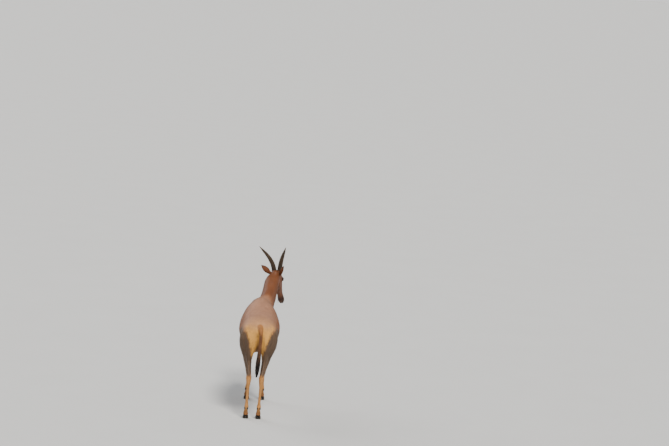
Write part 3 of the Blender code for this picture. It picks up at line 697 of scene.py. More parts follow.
def ear_masks(points, normals):
    """Where a point is on an ear, in its hollow, and on its edge or tip."""
    masks = np.zeros((3, len(points)))
    for side in SIDES:
        root, along, across, facing = ear_lines(side)
        away = points - root
        share = away @ along / EAR_LENGTH
        here = step(share, 0.02, 0.16) * (far(away, np.outer(away @ along, along)) < 0.042)
        hollow = (normals @ facing > 0.1) * step(share, 0.1, 0.25)
        edge = step(np.abs(away @ across) / ear_rows(share)[:, 1], 0.78, 0.98)
        rim = np.maximum(edge, step(share, 0.82, 0.98))
        masks = np.maximum(masks, here * np.array((np.ones(len(points)), hollow, rim)))
    return masks


def near_tail(points):
    """1 on the tail, falling to 0 beside it."""
    rows = tail_rows(np.linspace(0.2, 8, 40))
    found = np.zeros(len(points))
    close = np.flatnonzero((points[:, 1] > 0.62) & (np.abs(points[:, 0]) < 0.12))
    gap = far(points[close, None], rows[None, :, :3]) - rows[None, :, 3]
    found[close] = 1 - step(gap.min(axis=1), -0.002, 0.006)
    return found


def nose_pad(points):
    """1 on the bare skin between the nostrils."""
    along, _, out = head_places(points).T
    return near_head(points) * step(along, 0.432, 0.444) * step(out, -0.054, -0.046)


def coat_colour(points, normals):
    """The coat's colour at points of the skin, from the marks a topi has."""
    body = points - MIDDLE
    y, z = body[:, 1], body[:, 2]
    x = np.abs(body[:, 0] - middle_x(body))
    ragged = 0.012 * wobble(points, 0.045, 11) + 0.006 * wobble(points, 0.016, 12)

    # The top of the back painted paler, a painted sheen of light on the glossy coat, and the paler rump and
    # belly.
    back = np.interp(y, (-0.35, -0.25, -0.05, 0.10, 0.45), (1.22, 1.20, 1.17, 1.12, 1.05))
    high = step((z - 0.80) / (back - 0.80), 0.55, 1.0) * step(y, -0.40, -0.25) * step(z, 0.70, 0.80)
    rump = step(y, 0.20, 0.46) * step(z, 0.86, 1.0)
    under = step(-normals[:, 2], 0.25, 0.8) * step(z, 0.60, 0.66) * (z < 0.9) * step(y, -0.34, -0.20)

    # The dark thigh, with its arched upper edge, and the buff between the thighs.
    inner = np.interp(z, (0.58, 0.66, 0.80, 0.93, 1.0), (0.030, 0.048, 0.082, 0.118, 0.150))
    behind = step(y, 0.33, 0.42)
    outside = 1 - behind * (1 - step(x - inner + 0.7 * ragged, -0.017, 0.019))
    arch = 0.985 - np.where(y < 0.33, 3.2, 1.6) * (y - 0.33) ** 2
    thigh = step(arch - z + ragged, -0.02, 0.03) * step(y + 0.9 * ragged, 0.10, 0.15)
    thigh *= step(x, 0.035, 0.07) * outside * step(z, 0.474, 0.505)
    gaskin = step(y, 0.2, 0.25) * step(0.66 - z, 0, 0.05) * step(z + ragged, 0.474, 0.505)
    # The cleft beside the tail is painted dark brown: its bare skin is darker, and painted shade deepens it
    # between the buttocks.
    cleft = behind * step(0.028 - x + 0.3 * ragged, 0, 0.016) * step(0.90 - z, 0, 0.12) * (z > 0.60)
    buff = behind * (1 - outside) * step(z, 0.60, 0.68) * (1 - step(z + ragged, 0.94, 1.05))

    # The dark shoulder and upper fore leg.
    heights = (0.68, 0.76, 0.86, 0.98)
    front = np.interp(z, heights, (-0.455, -0.500, -0.515, -0.450))
    rear = np.interp(z, heights, (-0.305, -0.285, -0.300, -0.380))
    arm = step(y - front + ragged, -0.015, 0.03) * step(rear - y + ragged, -0.015, 0.03)
    arm *= step(x, 0.06, 0.10) * step(0.945 - z + 1.6 * ragged, -0.03, 0.04) * (z > 0.66)
    upper = step(0.075 - np.abs(y + 0.385), 0, 0.015) * step(z + ragged, 0.425, 0.465)
    upper *= step(0.715 - z, 0, 0.03) * step(x, 0.03, 0.06)

    # Ochre below the knees and hocks, darker down the front and over the hooves.
    below = step(np.where(y < 0, 0.445, 0.485) - z - ragged, -0.015, 0.02) * (z < 0.56)
    leg = mixed(OCHRE, BROWN, 0.5 * step(-normals[:, 1], 0.4, 1.0))
    leg = mixed(leg, BROWN, 0.75 * step(0.115 - z, 0, 0.045))

    # Neck and head, with the dark blaze and muzzle.
    along, left, out = head_places(points).T
    neck = step(-y + 0.45 * (z - 1.15) + ragged, 0.355, 0.425) * step(z, 0.86, 1.0)
    head = near_head(points) * step(along, -0.02, 0.05)
    edge = np.interp(along, (0.0, 0.06, 0.12, 0.20, 0.30, 0.36), (0.050, 0.046, 0.036, 0.034, 0.036, 0.060))
    blaze = step(edge - np.abs(left) + 0.4 * ragged, -0.006, 0.006) * step(out, -0.060, -0.035)
    muzzle = step(along + 0.6 * ragged, 0.300, 0.375)
    lips = head * step(along, 0.385, 0.405) * step(-out, 0.064, 0.075)
    on_ear, hollow, rim = ear_masks(points, normals)

    # The tail: brown above, black below.
    tail = mixed(UMBER, BLACK, step(0.90 - z + ragged, 0, 0.14))
    tail = mixed(tail, TAWNY, 0.8 * step(z, 0.93, 1.0))

    layers = [
        # painted sheen of light on the top of the back
        (SHEEN_MAUVE, 0.55 * high),
        (FAWN, 0.5 * rump),
        (FAWN, 0.45 * under),
        (BUFF, 0.92 * buff),
        # darker bare skin with painted shade in the cleft by the tail
        (BROWN * 0.6, 0.85 * cleft),
        (SLATE, 0.93 * np.maximum(thigh, gaskin * (1 - 0.35 * (x < 0.05)))),
        (SLATE, 0.92 * np.maximum(arm, upper)),
        (leg, below),
        (CHESTNUT, 0.9 * neck),
        (FACE, 0.85 * head),
        (DARK, 0.92 * head * np.maximum(blaze, muzzle)),
        *((DARK, 0.85 * (1 - step(far(points, EYES[side]) + 0.5 * ragged, 0.022, 0.040))) for side in SIDES),
        (LIPS, 0.55 * lips),
        # nostrils painted near black: their dark skin, deepened with painted shade inside the hollow
        *((BLACK * 0.5, 0.95 * (1 - step(to_nostril(points, side), 0.0030, 0.0075))) for side in SIDES),
        (BARE, 0.95 * nose_pad(points)),
        (EAR, 0.9 * on_ear),
        (PALE, 0.85 * hollow * (1 - rim)),
        (DARK, 0.6 * rim),
        (tail, 0.95 * near_tail(points)),
    ]
    colour = RUSSET
    for other, share in layers:
        colour = mixed(colour, other, share)
    shade = 1 + 0.05 * wobble(points, 0.12, 21) + 0.04 * wobble(points, 0.03, 22)
    return colour * shade[:, None]


# ---------------------------------------------------------------- the lie of the coat
# Places on the body, x out to the side, and the way the hair runs there.
LIE = [
    (0, -0.3, 1.2, 0, 1, -0.15),
    (0, 0, 1.15, 0, 1, -0.08),
    (0, 0.3, 1.09, 0, 1, -0.15),
    (0, 0.47, 1.03, 0, 0.6, -0.8),
    (0.15, -0.1, 1.05, 0.05, 0.95, -0.35),
    (0.2, 0, 0.9, 0, 0.92, -0.38),
    (0.19, 0.15, 0.88, 0, 0.85, -0.45),
    (0.1, 0.05, 0.7, -0.25, 0.95, -0.05),
    (0, -0.1, 0.67, 0, 1, 0),
    (0.15, 0.25, 1, 0.1, 0.75, -0.65),
    (0.17, 0.35, 0.88, 0, 0.4, -0.92),
    (0.16, 0.25, 0.75, -0.1, 0.55, -0.82),
    (0.08, 0.53, 0.9, 0.1, -0.05, -1),
    (0.08, 0.5, 0.75, 0.05, -0.15, -1),
    (0.1, 0.35, 0.6, -0.1, 0.5, -0.85),
    (0.07, 0.49, 0.46, 0, 0.1, -1),
    (0.07, 0.48, 0.2, 0, 0, -1),
    (0.14, -0.35, 1, 0.05, 0.3, -0.95),
    (0.15, -0.25, 0.85, 0, 0.6, -0.8),
    (0.13, -0.42, 0.85, 0, 0.15, -1),
    (0.1, -0.38, 0.7, 0, 0.1, -1),
    (0.09, -0.38, 0.4, 0, 0.05, -1),
    (0.08, -0.38, 0.15, 0, 0, -1),
    (0.04, -0.54, 0.92, 0, 0.05, -1),
    (0.02, -0.47, 0.76, 0, 0.6, -0.8),
    (0.06, -0.4, 1.15, 0.05, 0.75, -0.6),
    (0.09, -0.47, 1.05, 0.05, 0.55, -0.8),
    (0.08, -0.56, 1.15, 0, 0.45, -0.88),
    (0, -0.55, 1.3, 0.1, 0.75, -0.62),
    (0, -0.66, 1.18, 0.1, 0.3, -0.95),
]

# The same on the head.
HEAD_LIE = [
    (0.45, 0.01, -0.03, -1, 0.25, 0.1),
    (0.3, 0.02, -0.01, -1, 0.12, 0),
    (0.15, 0.02, 0, -1, 0.1, 0),
    (0.05, 0.02, 0, -1, 0.2, 0),
    (0.35, 0.03, -0.06, -1, 0.1, -0.2),
    (0.2, 0.05, -0.08, -0.9, 0.1, -0.4),
    (0.08, 0.05, -0.1, -0.6, 0.1, -0.8),
    (0.35, 0, -0.09, -1, 0, -0.2),
]


def lie_of_coat(points, normals):
    """The way the hair runs over the skin."""
    places, ways = [], []
    for side in SIDES:
        for *place, across, back, up in LIE:
            places.append(on_body(place, side))
            ways.append((across * side, back, up))
        for *place, down, beside, out in HEAD_LIE:
            places.append(on_head(place, side))
            ways.append(np.array((down, beside * side, out)) @ HEAD_AXES)
        root, along, _, _ = ear_lines(side)
        for share in (0.25, 0.5, 0.75, 1.0):
            places.append(root + along * EAR_LENGTH * share)
            ways.append(along)
    tail = tail_rows(np.arange(1, 6))[:, :3]
    places, ways = np.array([*places, *tail[:-1]]), unit(np.array([*ways, *np.diff(tail, axis=0)]))
    run = np.zeros_like(points)
    for some in np.array_split(np.arange(len(points)), len(points) // 20000 + 1):
        gap = far(points[some, None], places[None])
        run[some] = (1 / (gap + 0.004) ** 4) @ ways
    run = unit(run - normals * (run * normals).sum(1)[:, None])
    run = run + np.cross(normals, run) * (0.10 * wobble(points, 0.07, 31))[:, None]
    return unit(run - normals * (run * normals).sum(1)[:, None])


# ---------------------------------------------------------------- materials
COAT_GLOSS = 0.20
HORN_TONES = [  # from the root to the tip
    (0.0, (0.034, 0.020, 0.011)),
    (0.55, (0.066, 0.041, 0.022)),
    (0.85, (0.056, 0.036, 0.021)),
    (1.0, (0.150, 0.104, 0.058)),
]


class Nodes:
    """Makes the nodes of a tree. Each new one gives back one of its outputs."""

    def __init__(self, tree):
        self.tree = tree

    def put(self, target, values):
        """Sets a node's inputs, or links them."""
        for key, value in values.items():
            if isinstance(value, bpy.types.NodeSocket):
                self.tree.links.new(value, target.inputs[key])
            else:
                target.inputs[key].default_value = value

    def new(self, kind, values, output=0, **settings):
        """A node with its inputs and its settings."""
        made = self.tree.nodes.new("ShaderNode" + kind)
        for key, value in settings.items():
            setattr(made, key, value)
        self.put(made, values)
        return made.outputs[output]

    def place(self):
        """The place in the scene."""
        return self.new("NewGeometry", {}, "Position")

    def painted(self, name, output="Vector"):
        """What was painted on the mesh."""
        return self.new("Attribute", {}, output, attribute_name=name)

    def maths(self, operation, *values):
        """Arithmetic on numbers."""
        return self.new("Math", dict(enumerate(values)), operation=operation)

    def vectors(self, operation, *values, output="Vector"):
        """The same on vectors."""
        return self.new("VectorMath", dict(enumerate(values)), output, operation=operation)

    def ramp(self, value, *stops):
        """A colour ramp over a value. Stops are (place, grey or colour)."""
        made = self.new("ValToRGB", {0: value}, "Color")
        elements = made.node.color_ramp.elements
        while len(elements) < len(stops):
            elements.new(0.5)
        for element, (place, colour) in zip(elements, stops):
            element.position = place
            element.color = (*(colour if isinstance(colour, tuple) else (colour,) * 3), 1)
        return made

    def mix(self, share, first, second, kind="MIX"):
        """Two colours mixed."""
        first, second = ((*c, 1) if isinstance(c, tuple) else c for c in (first, second))
        return self.new("Mix", {0: share, 6: first, 7: second}, 2, data_type="RGBA", blend_type=kind)

    def shaded(self, share, base, value, *stops):
        """A colour made darker and lighter by a share of a ramp over a value."""
        return self.mix(share, base, self.ramp(value, *stops), "MULTIPLY")

    def noise(self, place, scale, detail, roughness):
        """Noise over a vector."""
        values = {"Vector": place, "Scale": scale, "Detail": detail, "Roughness": roughness}
        return self.new("TexNoise", values)

    def bump(self, height, strength, distance, **more):
        """A normal from a height."""
        return self.new("Bump", {"Strength": strength, "Distance": distance, "Height": height, **more})


class Look(Nodes):
    """A material being put together."""

    def __init__(self, name):
        self.material = bpy.data.materials.new(name)
        self.material.use_nodes = True
        super().__init__(self.material.node_tree)

    def done(self, colour, roughness, gloss=0.5, **more):
        """The material, with what its shader takes."""
        values = {"Base Color": colour, "Roughness": roughness, "Specular IOR Level": gloss, **more}
        self.put(self.tree.nodes["Principled BSDF"], values)
        return self.material


def skin_look():
    """Short glossy hair lying flat: streaks that follow the coat, over the markings."""
    look = Look("short_coat")
    place, run, bare = look.place(), look.painted("run"), look.painted("bare_nose", "Fac")
    # Places are pressed together along the hair, which draws the noise out into streaks.
    along = look.maths("MULTIPLY", look.vectors("DOT_PRODUCT", place, run, output="Value"), 0.88)
    along = look.new("VectorMath", {0: run, "Scale": along}, operation="SCALE")
    pressed = look.vectors("SUBTRACT", place, along)
    strands = look.noise(pressed, 900, 4, 0.6)
    clumps = look.noise(pressed, 160, 3, 0.6)
    coat = look.shaded(0.75, look.painted("coat_colour", "Color"), strands, (0.25, 0.62), (0.75, 1.25))
    coat = look.shaded(0.5, coat, clumps, (0.3, 0.75), (0.7, 1.15))
    coat = look.shaded(0.5, coat, look.noise(place, 9, 4, 0.6), (0.3, 0.85), (0.7, 1.1))
    dull = look.mix(bare, look.ramp(strands, (0.2, 0.56), (0.8, 0.40)), (0.33, 0.33, 0.33))
    cobbles = look.new("TexVoronoi", {"Vector": place, "Scale": 520.0}, "Distance")
    clumped = look.bump(clumps, 0.35, 0.0012)
    surface = look.bump(look.mix(bare, strands, cobbles), 0.45, 0.0004, Normal=clumped)
    return look.done(coat, dull, COAT_GLOSS, Normal=surface)


def hair_look(name, roughness, gloss):
    """Hair in locks: fine lines along each lock, over its own colour."""
    look = Look(name)
    lines = look.noise(look.painted("strand"), 3.0, 3, 0.6)
    coat = look.shaded(0.7, look.painted("hair_colour", "Color"), lines, (0.3, 0.70), (0.7, 1.25))
    coat = look.shaded(0.4, coat, look.noise(look.place(), 260, 2, 0.5), (0.3, 0.80), (0.7, 1.15))
    dull = look.ramp(lines, (0.2, roughness + 0.08), (0.8, roughness - 0.06))
    return look.done(coat, dull, gloss, Normal=look.bump(lines, 0.35, 0.0003))


def horn_look():
    """Ringed horn: dark in the grooves, worn pale on the rings and at the tip."""
    look = Look("ringed_horn")
    crest, share = (look.new("SeparateXYZ", {0: look.painted("horn_place")}, axis) for axis in "ZY")
    streaks = look.noise(look.painted("grain"), 6, 5, 0.65)
    clouds = look.noise(look.new("TexCoord", {}, "Object"), 35, 5, 0.6)
    worn = look.ramp(crest, (0.35, 0.0), (1.0, 0.75))
    base = look.mix(worn, look.ramp(share, *HORN_TONES), (0.150, 0.099, 0.050))
    base = look.shaded(0.8, base, streaks, (0.3, 0.45), (0.7, 1.35))
    base = look.shaded(0.6, base, clouds, (0.35, 0.65), (0.65, 1.2))
    dull = look.ramp(streaks, (0.3, 0.62), (0.7, 0.42))
    return look.done(base, dull, 0.3, Normal=look.bump(streaks, 0.5, 0.0008))


def hoof_look():
    """Black hoof horn with growth lines, scuffed and dusty towards the floor."""
    look = Look("hoof_horn")
    place = look.place()
    wave = {"Vector": place, "Scale": 52.0, "Distortion": 3.5, "Detail": 3.0}
    lines = look.new("TexWave", wave, "Fac", bands_direction="Z")
    scuffs = look.noise(place, 180, 5, 0.7)
    fade = {"Value": look.new("SeparateXYZ", {0: place}, "Z"), "From Min": 0.0, "From Max": 0.02}
    dust = look.new("MapRange", {**fade, "To Min": 0.6, "To Max": 0.04})
    base = look.mix(look.ramp(lines, (0.3, 0.0), (0.8, 0.3)), (0.013, 0.0105, 0.009), (0.030, 0.024, 0.019))
    base = look.mix(look.maths("MULTIPLY", dust, scuffs), base, (0.16, 0.125, 0.090))
    dull = look.ramp(scuffs, (0.3, 0.32), (0.7, 0.62))
    return look.done(base, dull, 0.3, Normal=look.bump(look.mix(0.05, scuffs, lines), 0.4, 0.0005))


def eye_look():
    """A dark brown eye with a wide level pupil under a wet clear surface."""
    look = Look("eye_wet")
    place = look.new("TexCoord", {}, "Object")
    across, up = (look.new("SeparateXYZ", {0: place}, axis) for axis in "XY")
    radius, slit = (
        look.vectors("LENGTH", look.vectors("MULTIPLY", place, squash), output="Value")
        for squash in ((1, 1, 0), (0.50, 1.15, 0))
    )
    spokes = look.new("CombineXYZ", {0: look.maths("ARCTAN2", up, across), 1: radius})
    fibres = look.noise(spokes, 14, 4, 0.7)
    iris = look.mix(fibres, (0.012, 0.0052, 0.0026), (0.058, 0.024, 0.010))
    pupil = look.ramp(look.maths("MULTIPLY", slit, 100.0), (0.30, 1.0), (0.38, 0.0))
    iris = look.mix(pupil, iris, (0.0010, 0.0012, 0.0020))
    white = look.ramp(look.maths("MULTIPLY", radius, 50.0), (0.62, 0.0), (0.70, 1.0))
    iris = look.mix(white, iris, (0.020, 0.012, 0.009))
    return look.done(iris, look.ramp(fibres, (0.2, 0.10), (0.8, 0.05)), 0.25, IOR=1.40)


def lid_look():
    """The bare dark rim of the eyelids."""
    look = Look("lid_rim")
    creases = look.noise(look.place(), 420, 4, 0.6)
    base = look.mix(creases, (0.006, 0.0045, 0.004), (0.030, 0.022, 0.019))
    dull = look.ramp(creases, (0.3, 0.42), (0.7, 0.62))
    return look.done(base, dull, 0.2, Normal=look.bump(creases, 0.4, 0.0004))


def floor_look():
    """A plain pale studio floor."""
    look = Look("studio_floor")
    clouds = look.noise(look.place(), 1.5, 4, 0.6)
    return look.done(look.ramp(clouds, (0.3, (0.600, 0.598, 0.580)), (0.7, (0.615, 0.613, 0.595))), 0.8)


# ---------------------------------------------------------------- hair
# How a tuft and a lock are coloured from root to tip, how the fine lines lie on them, and how
# wide their patch of the skin's map is. Tufts' patches are turned at random.
TUFT = {"shade": (0.86, 0.22), "strand": (1.6, 0.5), "patch": 0.0013, "turned": True}
LOCK = {"shade": (0.90, 0.25), "strand": (2.2, 3.0), "patch": 0.0014, "turned": False}
PATCH_HEIGHT = 0.003
ROOT_DEPTH = 0.0007  # how far the tufts' roots lie in the skin
THICKNESS = 0.32  # of a tuft, as a share of its width
BENT_FROM = 0.0150  # length from which a tuft is bent
ASTRAY = 0.13  # how unevenly the tufts lie
SCATTER = 0.0008  # how far a tuft's patch may lie from its root's place on the map
COVER = 1.35  # how many tufts lie over each other

WEDGE = [(0, 2, 1), (0, 1, 3), (1, 2, 3), (2, 0, 3)]
BENT_WEDGE = [(0, 2, 1), (0, 1, 4), (0, 4, 3), (1, 2, 5), (1, 5, 4)]
BENT_WEDGE += [(2, 0, 3), (2, 3, 5), (3, 4, 6), (4, 5, 6), (5, 3, 6)]


def hairs(name, corners, faces, across, up, colours, uv, shade, strand, patch, turned):
    """Many hairs of one build. across and up say where on a hair each of its corners is."""
    n, k = corners.shape[:2]
    faces = (np.array(faces)[None] + k * np.arange(n)[:, None, None]).reshape(-1, 3)
    made = from_arrays(name, corners.reshape(-1, 3), faces)
    shades = (shade[0] + shade[1] * up)[None, :, None]
    paint(made, "hair_colour", (colours[:, None] * shades).reshape(-1, 3))
    lines = np.broadcast_arrays(across * strand[0], up * strand[1], RNG.uniform(0, 50, (n, 1)))
    paint(made, "strand", np.stack(lines, 2).reshape(-1, 3))
    x, y = across * patch, up * PATCH_HEIGHT - PATCH_HEIGHT / 2
    turn = RNG.uniform(0, TURN, (n, 1)) if turned else np.zeros((n, 1))
    spread = np.stack([np.cos(turn) * x - np.sin(turn) * y, np.sin(turn) * x + np.cos(turn) * y], 2)
    places = (uv[:, None] + spread).reshape(-1, 2)[faces.ravel()]
    made.data.uv_layers.new(name="OFBake").uv.foreach_set("vector", places.astype(np.float32).ravel())
    return made


def tufts(name, roots, normals, ways, sizes, colours, uv, bent):
    """Small closed wedges of hair. sizes are length, width and lift of the tip."""
    length, width, lift = (size[:, None] for size in sizes.T)
    beside = np.cross(normals, ways)

    def ring(at, half):
        return [at - beside * width * half, at + beside * width * half, at + normals * (THICKNESS * width)]

    corners = ring(roots - normals * ROOT_DEPTH, 0.42)
    if bent:
        corners += ring(roots + ways * length * 0.5 + normals * lift * 0.75, 0.5)
    corners = np.stack([*corners, roots + ways * length + normals * lift], 1)
    across = np.array((-1, 1, 0, -1, 1, 0, 0) if bent else (-1, 1, 0, 0))
    up = np.array((0, 0, 0, 0.5, 0.5, 0.5, 1) if bent else (0, 0, 0, 1))
    made = hairs(name, corners, BENT_WEDGE if bent else WEDGE, across, up, colours, uv, **TUFT)
    # Every corner faces nearly as the skin does, so that the coat shades as one surface.
    facing = unit(normals[:, None] * 0.92 + beside[:, None] * (across * 0.30)[None, :, None])
    made.data.normals_split_custom_set_from_vertices(facing.reshape(-1, 3).astype(np.float32))
    return made


def unwrapped(skin):
    """Unwraps the skin by its own shape, and gives each face's place on the map."""
    bpy.ops.object.select_all(action="DESELECT")
    skin.select_set(True)
    bpy.context.view_layer.objects.active = skin
    skin.data.uv_layers.new(name="OFBake")
    bpy.ops.object.mode_set(mode="EDIT")
    bpy.ops.mesh.select_all(action="SELECT")
    bpy.ops.uv.smart_project(angle_limit=1.15, island_margin=0.004)
    bpy.ops.object.mode_set(mode="OBJECT")
    places = read(skin.data.uv_layers["OFBake"].uv, "vector", 2)
    starts = read(skin.data.polygons, "loop_start", 1, np.int32)[:, 0]
    counts = np.diff(np.append(starts, len(places)))
    return np.add.reduceat(places, starts, axis=0) / counts[:, None]


def coat_sizes(points, normals):
    """Length, width and lift of the hair's tips at each place, and hairs a square metre."""
    y, z = (points - MIDDLE)[:, 1:].T
    along = head_places(points)[:, 0]
    head = near_head(points) * step(along, -0.01, 0.05)
    leg = step(0.68 - z, 0, 0.14)
    tail = near_tail(points)
    length = (0.0122 - 0.0040 * leg) * (1 - head)
    length += head * np.interp(along, (0, 0.10, 0.30, 0.42), (0.010, 0.0070, 0.0060, 0.0042))
    length += 0.004 * step(-normals[:, 2], 0.3, 0.9) * step(z, 0.62, 0.7) * (1 - head)
    length += 0.002 * step(y, 0.40, 0.50) * step(z, 0.62, 0.72)
    length = np.where(ear_masks(points, normals)[0] > 0.4, 0.0065, length) + 0.006 * tail
    lids = np.zeros(len(points))
    for side in SIDES:
        length += 0.006 * (1 - step(far(points, on_head(HORN_BASE, side)), 0.030, 0.042))
        lids = np.maximum(lids, 1 - step(far(points, EYES[side]), 0.026, 0.036))
    length += 0.005 * step(CORONET + 0.023 - z, 0, 0.02)
    length *= 1 - 0.4 * lids
    width = 0.0005 + 0.088 * length
    lift = 0.0010 + 0.045 * length
    lift *= (1 - 0.30 * leg) * (1 - 0.4 * head) * (1 - 0.6 * tail) * (1 - 0.6 * lids)
    return np.stack([length, width, lift], 1), COVER / (length * width)


def hairless(points):
    """True on the nose pad, in the eyes and nostrils, and below the hooves' upper edge."""
    along, _, out = head_places(points).T
    bare = (along > 0.436) & (out > -0.052) & near_head(points) | (points[:, 2] < CORONET - 0.012)
    for side in SIDES:
        gaze, nose, up = eye_axes(side)
        away = points - EYES[side]
        in_eye = (opening(away @ nose, away @ up) < 1.10) & (away @ gaze > 0)
        bare |= in_eye & (far(points, EYES[side]) < 0.03) | (to_nostril(points, side) < 0.0065)
    return bare


def build_coat(skin, places):
    """Tufts of hair over the whole skin, in pieces of a size that the tools can take."""
    faces = skin.data.polygons
    middle, normal = (read(faces, name).astype(float) for name in ("center", "normal"))
    area = read(faces, "area", 1)[:, 0]
    sizes, count = coat_sizes(middle, normal)
    wanted = np.where(hairless(middle), 0, area * count)
    pick = np.repeat(np.arange(len(faces)), np.floor(wanted + RNG.uniform(size=len(faces))).astype(int))
    n = len(pick)
    roots, normals = middle[pick], normal[pick]
    ways = lie_of_coat(roots, normals)
    beside = np.cross(normals, ways)
    reach = np.sqrt(area[pick])[:, None] * 0.5
    roots = roots + ways * RNG.uniform(-1, 1, (n, 1)) * reach + beside * RNG.uniform(-1, 1, (n, 1)) * reach
    ways = unit(ways + beside * RNG.normal(0, ASTRAY, (n, 1)))
    sizes = sizes[pick] * RNG.uniform((0.75, 0.8, 0.55), (1.2, 1.2, 1.35), (n, 3))
    colours = coat_colour(roots, normals) * RNG.uniform(0.90, 1.10, (n, 1))
    uv = places[pick] + RNG.uniform(-SCATTER, SCATTER, (n, 2))
    finish = hair_look("coat_hair", 0.46, COAT_GLOSS)
    order = RNG.permutation(n)
    short = (sizes[:, 0] < BENT_FROM)[order]
    for label, those, shape in (("coat", order[~short], BENT_WEDGE), ("fine_coat", order[short], WEDGE)):
        number = math.ceil(len(those) * len(shape) / TRIANGLES_A_PIECE)
        for i, some in enumerate(np.array_split(those, number)):
            rows = (each[some] for each in (roots, normals, ways, sizes, colours, uv))
            hand_in(tufts(f"{label}_{i + 1}", *rows, bent=shape is BENT_WEDGE), finish, "coat")


def root_finder(skin):
    """A function that gives the skin's map at the faces that are nearest to some roots."""
    corners = read(skin.data.uv_layers["OFBake"].uv, "vector", 2)
    tree = KDTree(len(skin.data.polygons))
    for face in skin.data.polygons:
        tree.insert(face.center, face.loop_start)
    tree.balance()
    return lambda roots: corners[[tree.find(root)[1] for root in roots]]


def locks(name, lines, radii, colours, sides, on_map):
    """Closed tapering locks of hair. lines is (locks, points, 3), radii the same without the last."""
    n, rings, _ = lines.shape
    radii = np.broadcast_to(radii, (n, rings))[:, :, None, None]
    along = unit(np.gradient(lines, axis=1))
    across = unit(np.cross(along, unit(np.array((0.3, 0.9, 0.2)))))
    turn = (TURN * np.arange(sides) / sides)[None, None, :, None]
    outward = across[:, :, None] * np.cos(turn) + np.cross(along, across)[:, :, None] * np.sin(turn)
    points = (lines[:, :, None] + outward * radii).reshape(n, -1, 3)
    corners = np.concatenate([points, lines[:, :1], lines[:, -1:]], 1)
    up = np.concatenate([np.repeat(np.linspace(0, 1, rings), sides), (0, 1)])
    around = np.concatenate([np.tile(np.cos(turn.ravel()), rings), (0, 0)])
    colours = np.broadcast_to(colours, (n, 3))
    return hairs(name, corners, capped_tube(rings, sides), around, up, colours, on_map(lines[:, 0]), **LOCK)


def hair_line(start, way, length, droop, points=6):
    """A hair that grows straight from its root and then droops."""
    t = np.linspace(0, 1, points)[:, None]
    return start + way * length * t + droop * t**2


def tassel():
    """The long black hair that hangs from the tail to the hocks."""
    for name, n, sides, thick, most in (
        ("tassel", 520, 5, 0.0015, 0.90),
        ("tassel_strands", 1300, 3, 0.0006, 0.99),
    ):
        start = RNG.uniform(2.2, 5.8, (n, 1))
        stop = np.clip(start + RNG.uniform(1.4, 3.6, (n, 1)), 4.6, 7.97)
        share = np.linspace(0, 1, 12)[None]
        rows = tail_rows((start + (stop - start) * share).ravel()).reshape(n, 12, 5)
        turn = RNG.uniform(0, TURN, (n, 1))
        out = np.interp(share, (0, 0.3, 1), (0.7, 0.8, 1)) * RNG.uniform(0.55, 1.15, (n, 1))
        out = np.minimum(out, most) * (1 - 0.05 * np.sin(share * 9 + turn))
        turn = turn + 0.25 * np.sin(share * RNG.uniform(2, 7, (n, 1)) + turn)
        lines = rows[:, :, :3].copy()
        lines[:, :, 0] += np.cos(turn) * rows[:, :, 3] * out
        lines[:, :, 1] += np.sin(turn) * rows[:, :, 4] * out
        taper = np.interp(share, (0, 0.1, 0.6, 1), (0.4, 1, 0.8, 0.08))
        radii = thick * RNG.uniform(0.7, 1.2, (n, 1)) * taper
        colours = mixed(BLACK, UMBER, 0.85 * step(lines[:, 0, 2], 0.80, 0.92))
        yield name, lines, radii, colours * RNG.uniform(0.7, 1.5, (n, 1)), sides


def ear_hair():
    """Pale hairs that grow from the ear's edges into its hollow."""
    lines, colours = [], []
    for side in SIDES:
        root, along, across, facing = ear_lines(side)
        for _ in range(150):
            share = RNG.uniform(0.08, 0.78)
            edge = RNG.choice((-1, 1))
            _, width, thick, cup, lift = ear_rows(share)[0]
            x = edge * RNG.uniform(0.60, 0.93)
            start = root + along * EAR_LENGTH * share + UP * lift + across * width * x
            start = start + facing * (thick * 0.2 - cup * (1 - x * x))
            way = along * RNG.uniform(0.6, 1.3) - across * edge * RNG.uniform(0.2, 0.9)
            way = unit(way + facing * RNG.uniform(0.15, 0.5))
            length = RNG.uniform(0.010, 0.024)
            lines.append(hair_line(start, way, length, -facing * 0.25 * length))
            colours.append(mixed(PALE, BROWN, RNG.uniform(0, 0.5, 1))[0])
    yield "ear_hair", np.array(lines), 0.00042 * np.array((0.8, 1, 0.9, 0.7, 0.45, 0.1)), colours, 3


def eyelashes():
    """Eyelashes along the upper lid, and a few below."""
    lines = []
    for side in SIDES:
        gaze, nose, up = eye_axes(side)
        for upper, count, length in ((1, 42, 0.0088), (-1, 16, 0.0050)):
            for t in np.linspace(-0.86, 0.80, count):
                x = HALF_EYE * t
                y = upper * float(half_opening(t, upper > 0)) * math.sqrt(1 - t * t) * 1.06
                front = math.sqrt(max(LASHES**2 - x * x - y * y, 0))
                start = EYES[side] + nose * x + up * y + gaze * front
                way = unit(gaze * 0.75 + up * upper * 0.55 + nose * t * 0.5 + RNG.normal(0, 0.11, 3))
                droop = (up * upper * 0.30 - gaze * 0.15) * length
                lines.append(hair_line(start, way, length * RNG.uniform(0.7, 1.15), droop))
    yield "eyelashes", np.array(lines), 0.00028 * np.array((1, 1, 0.9, 0.7, 0.45, 0.1)), BLACK * 0.6, 3


